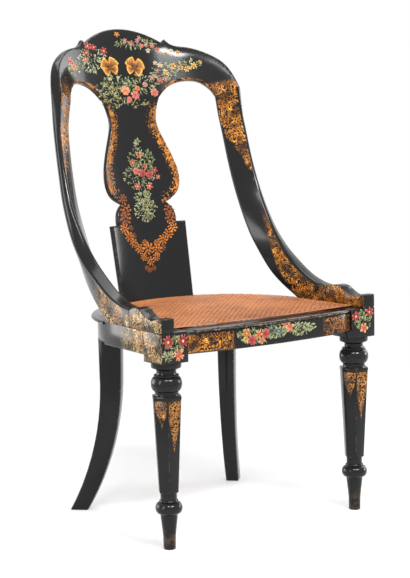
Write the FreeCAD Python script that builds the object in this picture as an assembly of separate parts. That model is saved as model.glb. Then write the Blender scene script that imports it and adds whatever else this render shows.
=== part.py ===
import FreeCAD, Part
import math
import os

# Black-lacquered side chair with a bowed crest, vase splat, swept stiles,
# caned seat, turned front legs with six-sided shafts and sabre rear legs.
# Millimetres, +Z up, -Y is the front. The plan is laid out from the front
# legs' axes at y = 0 and moved at the end, so that the origin is the middle
# of the footprint on the floor.

Vec = FreeCAD.Vector

# Seat plan and heights
seat_height = 380.0            # top of the seat frame's board
leg_half_spacing = 211.2       # centre of the chair to a front leg's axis
block_width = 55.0             # square block at the top of a front leg
side_splay_share = 0.075       # how far a side rail runs inwards for its length
side_rail_end = 165.0          # front leg axes to the side rails' rear ends
back_circle_centre = 130.0     # centre of the round back behind the front leg axes
front_bow = 15.5               # how far the front rail swells at its middle
front_rail_setback = 6.0       # front rail's ends behind the blocks' faces
fit_clearance = 0.15           # round each tenon
overrun = 5.0                  # how far a cutting shape runs past a face

# Seat board that carries the cane, and the rails below it
board_thickness = 6.5
board_front_lip = 2.5          # board past the front rail's face
board_back_lip = 11.5          # board past the back rail's face
board_side_lip = 2.0           # board past the side rails' rear ends
board_nosing = 2.4             # rounding of the board's edge
rail_height = 35.0
front_rail_thickness = 24.0
side_rail_thickness = 27.0
back_rail_thickness = 30.0
rail_edge_chamfer = 1.5
rail_tenon_length = 16.0
rail_tenon_thickness = 9.0
rail_tenon_height = 24.0
rail_ledge = 12.0              # side rail's inner ledge that carries the board

# Cane panel
cane_front = 4.0               # its front edge at the sides, behind the leg axes
cane_front_bow = 10.0
cane_back_rim = 36.0           # board behind the cane at its middle
cane_lap = 10.0                # cane that lies on the board
cane_thickness = 2.0
cane_wall_gap = 0.6            # cane to the side boards' inner faces
cane_hole = 11.0               # square gap of the panel
cane_pitch = 30.0
window_corner = 40.0           # board left in front of each block's corner
binding_width = 4.0
binding_thickness = 1.2

# Front legs
leg_block_height = 53.2        # block from its bottom to the seat board's top
collar_radius = 26.1
collar_height = 12.4
throat_radius = 17.0
throat_height = 8.4
disc_radius = 21.6
disc_height = 4.2
ball_radius = 27.0
ball_height = 25.5
neck_radius = 20.6
neck_height = 6.8
cap_side = 27.9                # side of the six-sided cap
cap_height = 7.1
shaft_top_side = 27.2
shaft_bottom_side = 18.8
shaft_height = 162.0
bead_steps = 5                 # turned bands that make a ball's round edge
lower_neck_radius = 14.3
lower_neck_height = 14.4
lower_disc_radius = 16.6
lower_disc_height = 3.6
lower_ball_radius = 23.6
lower_ball_height = 19.4
peg_top_radius = 15.2
peg_foot_radius = 10.8
peg_foot_height = 21.8         # straight part of the peg
peg_edge = 1.5

# Rear legs
rear_leg_angle = 40.7          # degrees from straight back, about the seat's round
rear_leg_turn = 45.0           # degrees from straight back to its sweep
rear_leg_depth = 42.0          # along its sweep, at the top
rear_leg_width = 33.0
rear_foot_depth = 33.0
rear_foot_width = 25.0
rear_leg_sweep = 66.0          # foot's centre past the top's centre
rear_leg_straight = 88.0       # upright part below the rail
rear_tenon_width = 16.0
rear_tenon_height = 26.0

# Back: the crest's bow in plan, and the rake of the whole back
splat_inset = 31.3             # splat's front face in front of the board's rear edge
splat_lean_share = 0.193
crest_lean_share = 0.254
plan_radius = 292.0            # hollow of the splat's and the crest's front faces
crest_joint_rise = 370.0       # seat board to the level where the crest's shoulders end
splat_rise = 383.0             # seat board to the crest's lower edge
crest_rise = 517.0             # seat board to the top of the crest
bend_share = 0.6244            # where the crest begins to bend down, of the stiles' span
arch_rise = 415.5              # seat board to the top of the openings
arch_power = 2.45              # how fast an opening's edge turns level
crest_end_rise = 481.0         # seat board to the crest's top where it bends
ear_reach = 93.5               # middle of the chair to the tip of an ear
ear_rise = 496.5
valley_reach = 85.5
valley_rise = 491.0
ear_slope_share = 0.25         # straight part of the fall behind an ear, the rest hollow
ear_hollow_power = 4.0
# Places of an outline's points, from the bend to an ear and to the splat
ear_point_shares = (0.4, 0.75, 1.0)
arch_point_shares = (0.3, 0.6, 0.82, 1.0)
crest_thickness = 11.5         # at the middle
crest_end_thickness = 19.0     # at the joints with the stiles

# Splat
splat_thickness = 9.0
splat_base_half = 81.5
splat_shoulder_half = 85.0
splat_shoulder_rise = 146.5
splat_lobe_half = 66.5
splat_notch_half = 50.4
splat_notch_rise = 184.5
splat_bulge_half = 84.0
splat_top_half = 64.0
splat_tenon_half = 34.0
splat_tenon_thickness = 5.0
splat_tenon_height = 14.0
lobe_across_share = 0.25        # middle of the lobe's round, from its foot to the notch
lobe_up_share = 0.667
# Reach out and height of the curve between notch and crest joint,
# as shares of the bulge's half width and of the rise above the notch
vase_curve_shares = ((0.6, 0.0), (0.893, 0.083), (1.0, 0.24), (0.905, 0.43),
                     (0.74, 0.607), (0.625, 0.768), (0.672, 0.899), (0.762, 1.0))

# Stiles
stile_inset = 6.2              # stile's middle line inside the front legs' axes
stile_setback = 14.0           # crest joint behind the splat's foot
stile_width = 50.0
stile_thickness = 20.0
nose_share = 0.3               # eased corners of the outer edge, of the thickness
joint_nose_share = 0.05        # the same at the joint with the crest
stile_seam = 76.0              # front leg axes to the upright seam
stile_tenon_width = 24.0
stile_tenon_thickness = 7.0
stile_tenon_length = 16.0
foot_tenon_length = 46.0       # along the side rail
foot_tenon_thickness = 9.0
foot_tenon_depth = 15.0
# Stations from the seam up towards the crest: outwards from the legs' axes in
# widths of the stile, back of the run behind the seam, up of the shoulders'
# rise, then of width and thickness
stile_station_shares = (
    (0.208, 0.000, 0.0310, 0.830, 1.350),
    (0.175, 0.146, 0.0390, 1.010, 1.350),
    (0.118, 0.293, 0.0830, 1.010, 1.320),
    (0.044, 0.463, 0.1619, 1.050, 1.280),
    (0.000, 0.590, 0.2459, 0.990, 1.300),
    (-0.054, 0.711, 0.3570, 0.990, 1.200),
    (-0.110, 0.832, 0.5216, 0.974, 0.900),
    (-0.186, 0.912, 0.6892, 0.962, 0.740),
    (-0.254, 0.969, 0.8541, 0.960, 0.720),
    (-0.309, 0.990, 0.9300, 0.975, 0.800),
)
# Degrees: lean from upright, and turn of the broad face out of the side plane
stile_lean_angles = (90.0, 67.0, 54.0, 50.0, 44.0, 36.0, 24.0, 16.0, 10.0, 5.0)
stile_turn_angles = (0.0, 3.0, 10.0, 20.0, 30.0, 40.0, 47.0, 50.0, 52.0, 52.0)
# Crest's shoulders from the stile's joint to the bend: inner edge across and
# up, outer edge across and up, as shares of the stile's span and of the rise
# from the shoulders' level to the crest's top at the bend
shoulder_shares = (
    (0.8063, 0.1216, 0.9922, 0.2946),
    (0.7844, 0.2198, 0.9629, 0.5063),
    (0.7444, 0.3153, 0.9029, 0.7261),
    (0.6917, 0.3850, 0.8024, 0.8775),
)

# Scroll feet in front of the stiles
side_board_thickness = 27.0
seam_rise = 29.3               # board to the stile's upper edge at the seam
scroll_peak_rise = 36.0
scroll_peak_back = 58.0
scroll_dip_rise = 34.0         # where the hump turns into the hollow
scroll_dip_back = 38.0
scroll_hollow_rise = 19.5
scroll_hollow_back = 1.0
scroll_sag = 3.0               # depth of the hollow's curve below a straight line
upstand_rise = 24.5
upstand_depth = 14.0
scroll_tenon_length = 20.0
scroll_tenon_thickness = 9.0
scroll_tenon_depth = 11.0

# Corner blocks
corner_block_leg = 44.0
corner_block_height = 22.0

# Worked out from the sizes above
board_bottom = seat_height - board_thickness
rail_bottom = board_bottom - rail_height
block_half = block_width / 2
block_bottom = seat_height - leg_block_height
side_outer = leg_half_spacing + block_half
side_rear_reach = side_outer - side_splay_share * (side_rail_end - block_half)
back_circle_radius = math.hypot(side_rear_reach + board_side_lip, side_rail_end - back_circle_centre)
front_face_end = front_rail_setback - block_half
back_rail_outer = back_circle_radius - board_back_lip
back_rail_inner = back_rail_outer - back_rail_thickness
back_rail_middle = (back_rail_outer + back_rail_inner) / 2
crest_joint_height = seat_height + crest_joint_rise
splat_top = seat_height + splat_rise
back_foot = back_circle_centre + back_circle_radius - splat_inset
stile_run = back_foot + stile_setback
stile_half_span = leg_half_spacing - stile_inset
bend_reach = stile_half_span * bend_share


def side_face(y):
    """Reach of a side rail's outer face at a place y."""
    return side_outer - side_splay_share * (y - block_half)


def back_line(z):
    """Place of the back's front face on the middle line at a height z."""
    rise = z - seat_height
    if rise <= splat_rise:
        return back_foot + splat_lean_share * rise
    return back_foot + splat_lean_share * splat_rise + crest_lean_share * (rise - splat_rise)


def crest_point(x, z, depth=0.0):
    """Point of the crest's hollow front face, or the point depth square behind it."""
    tilt = math.atan(crest_lean_share)
    inwards = math.sqrt(plan_radius ** 2 - x ** 2) / plan_radius
    sag = plan_radius * (1 - inwards)
    front = Vec(x, back_line(z) - sag / math.cos(tilt), z)
    square = Vec(x / plan_radius, inwards * math.cos(tilt), -inwards * math.sin(tilt))
    return front + square * depth


def mirrored(shape):
    return shape.mirror(Vec(0, 0, 0), Vec(1, 0, 0))


def line(a, b):
    return Part.LineSegment(a, b).toShape()


def arc(a, b, c):
    return Part.Arc(a, b, c).toShape()


def curve(*points):
    spline = Part.BSplineCurve()
    spline.interpolate(list(points))
    return spline.toShape()


def polygon_face(points):
    return Part.Face(Part.makePolygon(points + [points[0]]))


def block(low, high):
    size = high - low
    return Part.makeBox(size.x, size.y, size.z, low)


def eased(shape, size, keep):
    """Cut the corners off the edges of a solid for which keep is true."""
    return shape.makeChamfer(size, [edge for edge in shape.Edges if keep(edge)])


# Boards bent to the back's plan radius

def closed_outline(right, top):
    """Outline from the pieces of its right half, given upwards, and its top piece."""
    left = [(make, [(-x, z) for x, z in reversed(points)]) for make, points in reversed(right)]
    base = (line, [left[-1][1][-1], right[0][1][0]])
    return right + [top] + left + [base]


def bent_board(foot, lean_share, thickness, back_radius, outline):
    """Board hollow in front, leaning back from the height foot, its edges cut
    square to its face along an outline of points (x, z) on that face."""
    tilt = math.atan(lean_share)
    points = [point for make, points in outline for point in points]
    reach = max(x for x, z in points) + overrun
    rise = (max(z for x, z in points) - foot) / math.cos(tilt) + overrun
    sag = plan_radius - math.sqrt(plan_radius ** 2 - reach ** 2)
    back_sag = back_radius - math.sqrt(back_radius ** 2 - reach ** 2)

    def wire(level):
        """The outline drawn out from the bend's axis to a plane at a depth."""
        def place(point):
            x, z = point
            distance = math.sqrt(plan_radius ** 2 - x ** 2)
            along = (z - foot) / math.cos(tilt) - (plan_radius - distance) * lean_share
            return Vec(x * (plan_radius + level) / distance, level, along)
        return Part.Wire([make(*[place(point) for point in points]) for make, points in outline])

    cutter = Part.makeLoft([wire(-sag - overrun), wire(thickness + overrun)], True, True)
    front = [Vec(-reach, -sag, 0), Vec(0, 0, 0), Vec(reach, -sag, 0)]
    back = [Vec(reach, thickness - back_sag, 0), Vec(0, thickness, 0), Vec(-reach, thickness - back_sag, 0)]
    plan = Part.Face(Part.Wire([arc(*front), line(front[2], back[0]), arc(*back), line(back[2], front[0])]))
    below = reach * lean_share + 2 * overrun
    plan.translate(Vec(0, 0, -below))
    board = plan.extrude(Vec(0, 0, below + rise)).common(cutter)
    board.rotate(Vec(0, 0, 0), Vec(1, 0, 0), -math.degrees(tilt))
    board.translate(Vec(0, back_line(foot), foot))
    return board


def level_cut(shape, low, high):
    """Keep what lies between two heights."""
    reach = side_outer + block_width
    return shape.common(block(Vec(-reach, 0, low), Vec(reach, 2 * back_foot, high)))


# Seat board, rails and cane

def front_bow_edge(y_end, half_reach, depth=front_bow):
    """Bowed edge across the front, swelling by depth between its ends."""
    return arc(Vec(-half_reach, y_end, 0), Vec(0, y_end - depth, 0), Vec(half_reach, y_end, 0))


def back_arc(radius, reach_y):
    """Round edge from the left at y = reach_y round the back to the right."""
    x_end = math.sqrt(radius ** 2 - (reach_y - back_circle_centre) ** 2)
    top = Vec(0, back_circle_centre + radius, 0)
    return arc(Vec(x_end, reach_y, 0), top, Vec(-x_end, reach_y, 0))


def raised(wire, z, height):
    face = Part.Face(wire)
    face.translate(Vec(0, 0, z))
    return face.extrude(Vec(0, 0, height))


def cane_edge(inset):
    """Outline of the cane, or the same drawn in by inset."""
    front = cane_front + inset
    side_in = side_board_thickness + cane_wall_gap + inset
    half_front = side_face(block_half) - side_in
    half_back = side_face(side_rail_end) - side_in
    back = back_circle_centre + back_circle_radius - cane_back_rim - inset
    corner = Vec(half_back, side_rail_end, 0)
    return [
        front_bow_edge(front, half_front, cane_front_bow),
        line(Vec(half_front, front, 0), corner),
        arc(corner, Vec(0, back, 0), Vec(-half_back, side_rail_end, 0)),
        line(Vec(-half_back, side_rail_end, 0), Vec(-half_front, front, 0)),
    ]


def window(height):
    """Window of the seat board, its front corners kept clear of the blocks."""
    opening = raised(Part.Wire(cane_edge(cane_lap)), 0, height)
    inner = leg_half_spacing - block_half
    near = inner - window_corner
    far = block_half + window_corner
    corner = polygon_face([Vec(near, cane_front, 0), Vec(side_outer, cane_front, 0),
                           Vec(side_outer, far, 0), Vec(inner + 2 * overrun, far, 0)])
    corner = corner.extrude(Vec(0, 0, height))
    return opening.cut(Part.makeCompound([corner, mirrored(corner)]))


def seat_frame():
    half = leg_half_spacing - block_half
    front = front_face_end - board_front_lip
    x_back = math.sqrt(back_circle_radius ** 2 - (side_rail_end - back_circle_centre) ** 2)
    side_front = side_face(block_half) - side_rail_thickness
    side_back = side_face(side_rail_end) - side_rail_thickness
    right = [Vec(half, front, 0), Vec(half, block_half, 0), Vec(side_front, block_half, 0),
             Vec(side_back, side_rail_end, 0), Vec(x_back, side_rail_end, 0)]
    left = [Vec(-point.x, point.y, 0) for point in reversed(right)]
    edges = [front_bow_edge(front, half)]
    edges += [line(a, b) for a, b in zip(right, right[1:])]
    edges.append(back_arc(back_circle_radius, side_rail_end))
    edges += [line(a, b) for a, b in zip(left, left[1:])]
    board = raised(Part.Wire(edges), board_bottom, board_thickness)

    def nosed(edge):
        middle = edge.CenterOfMass
        level = edge.BoundBox.ZLength < fit_clearance
        back = middle.y > side_rail_end + overrun
        bowed = middle.y < front
        return level and (back or bowed)

    board = eased(board, board_nosing, nosed)
    hole = window(board_thickness + 2 * overrun)
    hole.translate(Vec(0, 0, board_bottom - overrun))
    return board.cut(Part.makeCompound([hole, splat_tenons(fit_clearance)[0]]))


def cane_panel():
    """Flat net: a sheet with rows of square gaps over the window."""
    sheet = raised(Part.Wire(cane_edge(0)), 0, cane_thickness)
    inside = window(cane_thickness)
    box = inside.BoundBox
    columns = int(box.XLength / cane_pitch)
    rows = int(box.YLength / cane_pitch)
    x_start = -columns * cane_pitch / 2
    y_start = box.YMin + (box.YLength - rows * cane_pitch) / 2
    gaps = []
    for column in range(columns + 1):
        for row in range(rows + 1):
            x = x_start + column * cane_pitch
            y = y_start + row * cane_pitch
            corner = Vec(x - cane_hole / 2, y - cane_hole / 2, 0)
            corners = [corner, corner + Vec(cane_hole, 0, 0)]
            corners += [corner + Vec(cane_hole, cane_hole, 0), corner + Vec(0, cane_hole, 0)]
            rise = Vec(0, 0, cane_thickness / 2)
            if all(inside.isInside(point + rise, fit_clearance, False) for point in corners):
                gaps.append(Part.makePolygon(corners + [corners[0]]))
    bottom = [face for face in sheet.Faces if face.CenterOfMass.z < fit_clearance][0]
    holed = Part.Face([bottom.OuterWire] + gaps)
    holed.translate(Vec(0, 0, seat_height))
    return holed.extrude(Vec(0, 0, cane_thickness))


def cane_binding():
    top = seat_height + cane_thickness
    outer = raised(Part.Wire(cane_edge(0)), top, binding_thickness)
    inner = raised(Part.Wire(cane_edge(binding_width)), seat_height, 2 * overrun)
    return outer.cut(inner)


def rail_tenon(extra=0.0):
    """Tenon of a rail that runs along +Y into a front leg's block, at x = 0."""
    half = rail_tenon_thickness / 2 + extra
    middle = rail_bottom + rail_height / 2
    return block(Vec(-half, -rail_tenon_length - extra, middle - rail_tenon_height / 2 - extra),
                 Vec(half, overrun, middle + rail_tenon_height / 2 + extra))


def side_tenon(extra=0.0):
    tenon = rail_tenon(extra)
    tenon.translate(Vec(side_face(block_half) - side_rail_thickness / 2, block_half, 0))
    return tenon


def front_tenon(extra=0.0):
    tenon = rail_tenon(extra)
    tenon.rotate(Vec(0, 0, 0), Vec(0, 0, 1), 90)
    tenon.translate(Vec(leg_half_spacing - block_half, front_face_end + front_rail_thickness / 2, 0))
    return tenon


def front_rail():
    half = leg_half_spacing - block_half
    back = front_face_end + front_rail_thickness
    outline = Part.Wire([
        front_bow_edge(front_face_end, half),
        line(Vec(half, front_face_end, 0), Vec(half, back, 0)),
        front_bow_edge(back, half, front_bow / 2),
        line(Vec(-half, back, 0), Vec(-half, front_face_end, 0)),
    ])
    rail = raised(outline, rail_bottom, rail_height)
    lower = [edge for edge in rail.Edges
             if edge.BoundBox.ZMax < rail_bottom + fit_clearance and edge.CenterOfMass.y < front_face_end]
    rail = rail.makeChamfer(rail_edge_chamfer, lower)
    tenon = front_tenon()
    return rail.fuse([tenon, mirrored(tenon)]).removeSplitter()


def side_strip(near, far, height):
    """Straight strip along a side, between two depths inside its outer face."""
    front, back = side_face(block_half), side_face(side_rail_end)
    strip = polygon_face([
        Vec(front - near, block_half, rail_bottom),
        Vec(back - near, side_rail_end, rail_bottom),
        Vec(back - far, side_rail_end, rail_bottom),
        Vec(front - far, block_half, rail_bottom),
    ])
    return strip.extrude(Vec(0, 0, height))


def side_rail():
    """Side rail: its outer part as high as the board, a ledge inside for it."""
    rail = side_strip(0, side_rail_thickness, rail_height + board_thickness)
    outer_middle = (side_face(block_half) + side_face(side_rail_end)) / 2
    lower = [edge for edge in rail.Edges
             if edge.BoundBox.ZMax < rail_bottom + fit_clearance
             and abs(edge.CenterOfMass.x - outer_middle) < overrun]
    rail = rail.makeChamfer(rail_edge_chamfer, lower)
    ledge = side_strip(side_rail_thickness, side_rail_thickness + rail_ledge, rail_height)
    rail = rail.fuse([ledge, side_tenon(), end_tenon()]).removeSplitter()
    return rail.cut(foot_tenon(fit_clearance))


def back_rail():
    height = Vec(0, 0, rail_bottom)
    centre = Vec(0, back_circle_centre, rail_bottom)
    ring = Part.makeCylinder(back_rail_outer, rail_height, centre)
    ring = ring.cut(Part.makeCylinder(back_rail_inner, rail_height, centre))
    reach = back_rail_outer + overrun
    front = block(Vec(-reach, back_circle_centre - reach, 0) + height,
                  Vec(reach, side_rail_end, rail_height) + height)
    ring = ring.cut(front)
    tenon = rear_tenon(fit_clearance)
    end = end_tenon(fit_clearance)
    mortises = [tenon, mirrored(tenon), end, mirrored(end), splat_tenons(fit_clearance)[0]]
    return ring.cut(Part.makeCompound(mortises))


def end_tenon(extra=0.0):
    """Tenon of a side rail's rear end into the back rail."""
    outer = math.sqrt(back_rail_outer ** 2 - (side_rail_end - back_circle_centre) ** 2)
    inner = side_face(side_rail_end) - side_rail_thickness - rail_ledge
    x = (outer + inner) / 2
    z = rail_bottom + rail_height / 2
    half = rail_tenon_thickness / 2 + extra
    half_height = rail_tenon_height / 2 + extra
    return block(Vec(x - half, side_rail_end - overrun, z - half_height),
                 Vec(x + half, side_rail_end + rail_tenon_length + extra, z + half_height))


# Front legs

def six_sided(side, z):
    points = []
    for corner in range(6):
        angle = math.radians(60 * corner)
        points.append(Vec(side * math.cos(angle), side * math.sin(angle), z))
    return Part.makePolygon(points + [points[0]])


def bead(radius, high, low, inner):
    """Round edge of a turned ball from (inner, high) down to (inner, low)."""
    points = []
    for step in range(bead_steps + 1):
        angle = math.pi * step / bead_steps
        out = inner + (radius - inner) * math.sin(angle)
        points.append(Vec(out, 0, (high + low) / 2 + (high - low) / 2 * math.cos(angle)))
    return [line(a, b) for a, b in zip(points, points[1:])]


def front_leg():
    """Left or right front leg about its own axis at x = 0, y = 0."""
    z = block_bottom
    collar_low = z - collar_height
    throat_low = collar_low - throat_height
    disc_low = throat_low - disc_height
    ball_low = disc_low - ball_height
    neck_low = ball_low - neck_height
    cap_low = neck_low - cap_height
    shaft_low = cap_low - shaft_height
    lower_neck_low = shaft_low - lower_neck_height
    lower_disc_low = lower_neck_low - lower_disc_height
    lower_ball_low = lower_disc_low - lower_ball_height

    upper = Part.Wire([
        line(Vec(0, 0, z), Vec(collar_radius, 0, z)),
        line(Vec(collar_radius, 0, z), Vec(collar_radius, 0, collar_low + throat_height / 2)),
        line(Vec(collar_radius, 0, collar_low + throat_height / 2), Vec(throat_radius, 0, collar_low)),
        line(Vec(throat_radius, 0, collar_low), Vec(throat_radius, 0, throat_low)),
        line(Vec(throat_radius, 0, throat_low), Vec(disc_radius, 0, throat_low - disc_height / 4)),
        line(Vec(disc_radius, 0, throat_low - disc_height / 4), Vec(disc_radius, 0, disc_low)),
        line(Vec(disc_radius, 0, disc_low), Vec(neck_radius, 0, disc_low)),
        *bead(ball_radius, disc_low, ball_low, neck_radius),
        line(Vec(neck_radius, 0, ball_low), Vec(neck_radius, 0, neck_low)),
        line(Vec(neck_radius, 0, neck_low), Vec(0, 0, neck_low)),
        line(Vec(0, 0, neck_low), Vec(0, 0, z)),
    ])
    lower = Part.Wire([
        line(Vec(0, 0, shaft_low), Vec(lower_neck_radius, 0, shaft_low)),
        line(Vec(lower_neck_radius, 0, shaft_low), Vec(lower_neck_radius, 0, lower_disc_low)),
        line(Vec(lower_neck_radius, 0, lower_disc_low), Vec(lower_disc_radius, 0, lower_disc_low)),
        *bead(lower_ball_radius, lower_disc_low, lower_ball_low, lower_disc_radius),
        line(Vec(lower_disc_radius, 0, lower_ball_low), Vec(peg_top_radius, 0, lower_ball_low)),
        line(Vec(peg_top_radius, 0, lower_ball_low), Vec(peg_foot_radius, 0, peg_foot_height)),
        line(Vec(peg_foot_radius, 0, peg_foot_height), Vec(peg_foot_radius, 0, peg_edge)),
        line(Vec(peg_foot_radius, 0, peg_edge), Vec(peg_foot_radius - peg_edge, 0, 0)),
        line(Vec(peg_foot_radius - peg_edge, 0, 0), Vec(0, 0, 0)),
        line(Vec(0, 0, 0), Vec(0, 0, shaft_low)),
    ])
    turned = [Part.Face(wire).revolve(Vec(0, 0, 0), Vec(0, 0, 1), 360) for wire in (upper, lower)]
    cap = Part.Face(six_sided(cap_side, cap_low)).extrude(Vec(0, 0, cap_height))
    shaft = Part.makeLoft([six_sided(shaft_bottom_side, shaft_low), six_sided(shaft_top_side, cap_low)],
                          True, True)
    square = block(Vec(-block_half, -block_half, block_bottom), Vec(block_half, block_half, seat_height))
    return square.fuse(turned + [cap, shaft]).removeSplitter()


def placed_front_leg():
    leg = front_leg()
    leg.translate(Vec(leg_half_spacing, 0, 0))
    mortises = [side_tenon(fit_clearance), front_tenon(fit_clearance), scroll_tenon(fit_clearance)]
    return leg.cut(Part.makeCompound(mortises))


# Rear legs

def rear_leg():
    """Leg swept straight back from y = 0: its side outline cut to its taper."""
    bend = rail_bottom - rear_leg_straight
    radius = (bend ** 2 + rear_leg_sweep ** 2) / (2 * rear_leg_sweep)

    def edge_point(z, side):
        along = radius - math.sqrt(radius ** 2 - max(0, bend - z) ** 2)
        depth = rear_foot_depth + (rear_leg_depth - rear_foot_depth) * z / rail_bottom
        return Vec(0, along + side * depth / 2, z)

    front = [edge_point(z, -1) for z in (rail_bottom, bend, bend / 2, 0)]
    back = [edge_point(z, 1) for z in (0, bend / 2, bend, rail_bottom)]
    outline = Part.Face(Part.Wire([
        line(front[0], front[1]), arc(*front[1:]), line(front[-1], back[0]),
        arc(*back[:3]), line(back[2], back[3]), line(back[3], front[0])]))
    outline.translate(Vec(-rear_leg_width, 0, 0))
    blank = outline.extrude(Vec(2 * rear_leg_width, 0, 0))
    reach = rear_leg_sweep + rear_leg_depth
    taper = polygon_face([
        Vec(-rear_foot_width / 2, -reach, 0), Vec(rear_foot_width / 2, -reach, 0),
        Vec(rear_leg_width / 2, -reach, rail_bottom), Vec(-rear_leg_width / 2, -reach, rail_bottom)])
    return blank.common(taper.extrude(Vec(0, 3 * reach, 0)))


def under_back_rail(shape):
    """Turn a shape made at x = y = 0 and bring it under the back rail."""
    placed = shape.copy()
    placed.rotate(Vec(0, 0, 0), Vec(0, 0, 1), -rear_leg_turn)
    angle = math.radians(rear_leg_angle)
    placed.translate(Vec(back_rail_middle * math.sin(angle),
                         back_circle_centre + back_rail_middle * math.cos(angle), 0))
    return placed


def rear_tenon(extra=0.0):
    half = rear_tenon_width / 2 + extra
    tenon = block(Vec(-half, -half, rail_bottom - overrun),
                  Vec(half, half, rail_bottom + rear_tenon_height + extra))
    return under_back_rail(tenon)


def placed_rear_leg():
    return under_back_rail(rear_leg()).fuse(rear_tenon()).removeSplitter()


# Splat

def splat_outline():
    shoulder = seat_height + splat_shoulder_rise
    notch = seat_height + splat_notch_rise
    top = splat_top + overrun
    lobe = (splat_lobe_half + (splat_notch_half - splat_lobe_half) * lobe_across_share,
            shoulder + (notch - shoulder) * lobe_up_share)
    vase = [(across * splat_bulge_half, notch + up * (splat_top - notch))
            for across, up in vase_curve_shares]
    right = [
        (line, [(splat_base_half, seat_height - overrun), (splat_shoulder_half, shoulder)]),
        (line, [(splat_shoulder_half, shoulder), (splat_lobe_half, shoulder)]),
        (arc, [(splat_lobe_half, shoulder), lobe, vase[0]]),
        (curve, vase),
        (line, [vase[-1], (vase[-1][0], top)]),
    ]
    return closed_outline(right, (line, [(vase[-1][0], top), (-vase[-1][0], top)]))


def splat_tenons(extra=0.0):
    """Tenon down into the back rail and tenon up into the crest."""
    tenons = []
    half = splat_tenon_half + extra
    half_thick = splat_tenon_thickness / 2 + extra
    for z, up, lean in ((seat_height, -1, splat_lean_share), (splat_top, 1, crest_lean_share)):
        base = z - up * overrun
        y = back_line(base) + splat_thickness / 2
        plan = polygon_face([Vec(-half, y - half_thick, base), Vec(half, y - half_thick, base),
                             Vec(half, y + half_thick, base), Vec(-half, y + half_thick, base)])
        rise = up * (overrun + splat_tenon_height + extra)
        tenons.append(plan.extrude(Vec(0, lean * rise, rise)))
    return tenons


def splat():
    back_radius = plan_radius + splat_thickness
    board = bent_board(seat_height, splat_lean_share, splat_thickness, back_radius, splat_outline())
    board = level_cut(board, seat_height, splat_top)
    return board.fuse(splat_tenons()).removeSplitter()


# Stiles

def rib(corners, nose):
    """Section from its corners (inner front, outer front, outer back, inner back),
    the two outer ones eased by the share nose of the thickness."""
    inner_front, outer_front, outer_back, inner_back = corners
    thick = outer_back - outer_front
    ease = thick * nose
    inwards = (inner_front - outer_front).normalize() * ease.Length
    points = [inner_front, outer_front + inwards, outer_front + ease,
              outer_back - ease, outer_back + inwards, inner_back]
    return Part.makePolygon(points + [points[0]])


def stile_frame(index):
    """Centre, width direction and thickness direction at a station."""
    across, back, up = stile_station_shares[index][:3]
    lean = math.radians(stile_lean_angles[index])
    turn = math.radians(stile_turn_angles[index])
    centre = Vec(leg_half_spacing + across * stile_width,
                 stile_seam + back * (stile_run - stile_seam), seat_height + up * crest_joint_rise)
    forward = Vec(0, -math.cos(lean), math.sin(lean))
    wide = forward * math.cos(turn) + Vec(math.sin(turn), 0, 0)
    thick = Vec(math.cos(turn), 0, 0) - forward * math.sin(turn)
    return centre, wide, thick


def stile_corners(index):
    """Corners of a station: inner front, outer front, outer back, inner back."""
    centre, wide, thick = stile_frame(index)
    width_share, thickness_share = stile_station_shares[index][3:]
    half_wide = wide * (stile_width * width_share / 2)
    half_thick = thick * (stile_thickness * thickness_share / 2)
    return [centre - half_wide - half_thick, centre + half_wide - half_thick,
            centre + half_wide + half_thick, centre - half_wide + half_thick]


def shoulder_edges(index):
    """Inner and outer edge of a shoulder's front face."""
    across_in, up_in, across_out, up_out = shoulder_shares[index]
    rise = crest_end_rise - crest_joint_rise
    return [(across_in * stile_half_span, crest_joint_height + up_in * rise),
            (across_out * stile_half_span, crest_joint_height + up_out * rise)]


def crest_back_radius():
    """Radius of the crest's back face, which thickens it towards the stiles."""
    inner, outer = shoulder_edges(0)
    x = (inner[0] + outer[0]) / 2
    scale = (plan_radius + crest_end_thickness) / plan_radius
    drop = crest_thickness + plan_radius - math.sqrt(plan_radius ** 2 - x ** 2) * scale
    return ((x * scale) ** 2 + drop ** 2) / (2 * drop)


def crest_depth(x):
    """Crest's thickness square to its front face at x."""
    radius = crest_back_radius()
    between = radius - plan_radius - crest_thickness
    inwards = math.sqrt(plan_radius ** 2 - x ** 2) / plan_radius
    return math.sqrt(radius ** 2 - between ** 2 * (1 - inwards ** 2)) - between * inwards - plan_radius


def joint_corners():
    """Corners of the stile's top, where the crest's shoulder ends."""
    inner, outer = shoulder_edges(0)
    front = [crest_point(*inner), crest_point(*outer)]
    back = [crest_point(*inner, crest_depth(inner[0])), crest_point(*outer, crest_depth(outer[0]))]
    normal = (front[1] - front[0]).cross(back[0] + back[1] - front[0] - front[1]).normalize()
    back = [point - normal * (point - front[0]).dot(normal) for point in back]
    return [front[0], front[1], back[1], back[0]]


def joint_cut():
    """What lies under the joint with the crest, near it."""
    corners = joint_corners()
    wide = (corners[1] - corners[0]).normalize() * stile_width
    thick = (corners[3] - corners[0]).normalize() * stile_width
    middle = (corners[0] + corners[1] + corners[2] + corners[3]) / 4
    plan = polygon_face([middle - wide - thick, middle + wide - thick,
                         middle + wide + thick, middle - wide + thick])
    down = wide.cross(thick).normalize()
    return plan.extrude(down * (stile_width if down.z < 0 else -stile_width))


def upright_tenon(middle, wide, thick, length, height):
    """Block about middle with its sides along wide and thick, from -length to length."""
    half_wide, half_thick = wide / 2, thick / 2
    base = middle - Vec(0, 0, length)
    plan = polygon_face([base - half_wide - half_thick, base + half_wide - half_thick,
                         base + half_wide + half_thick, base - half_wide + half_thick])
    return plan.extrude(Vec(0, 0, height))


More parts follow.
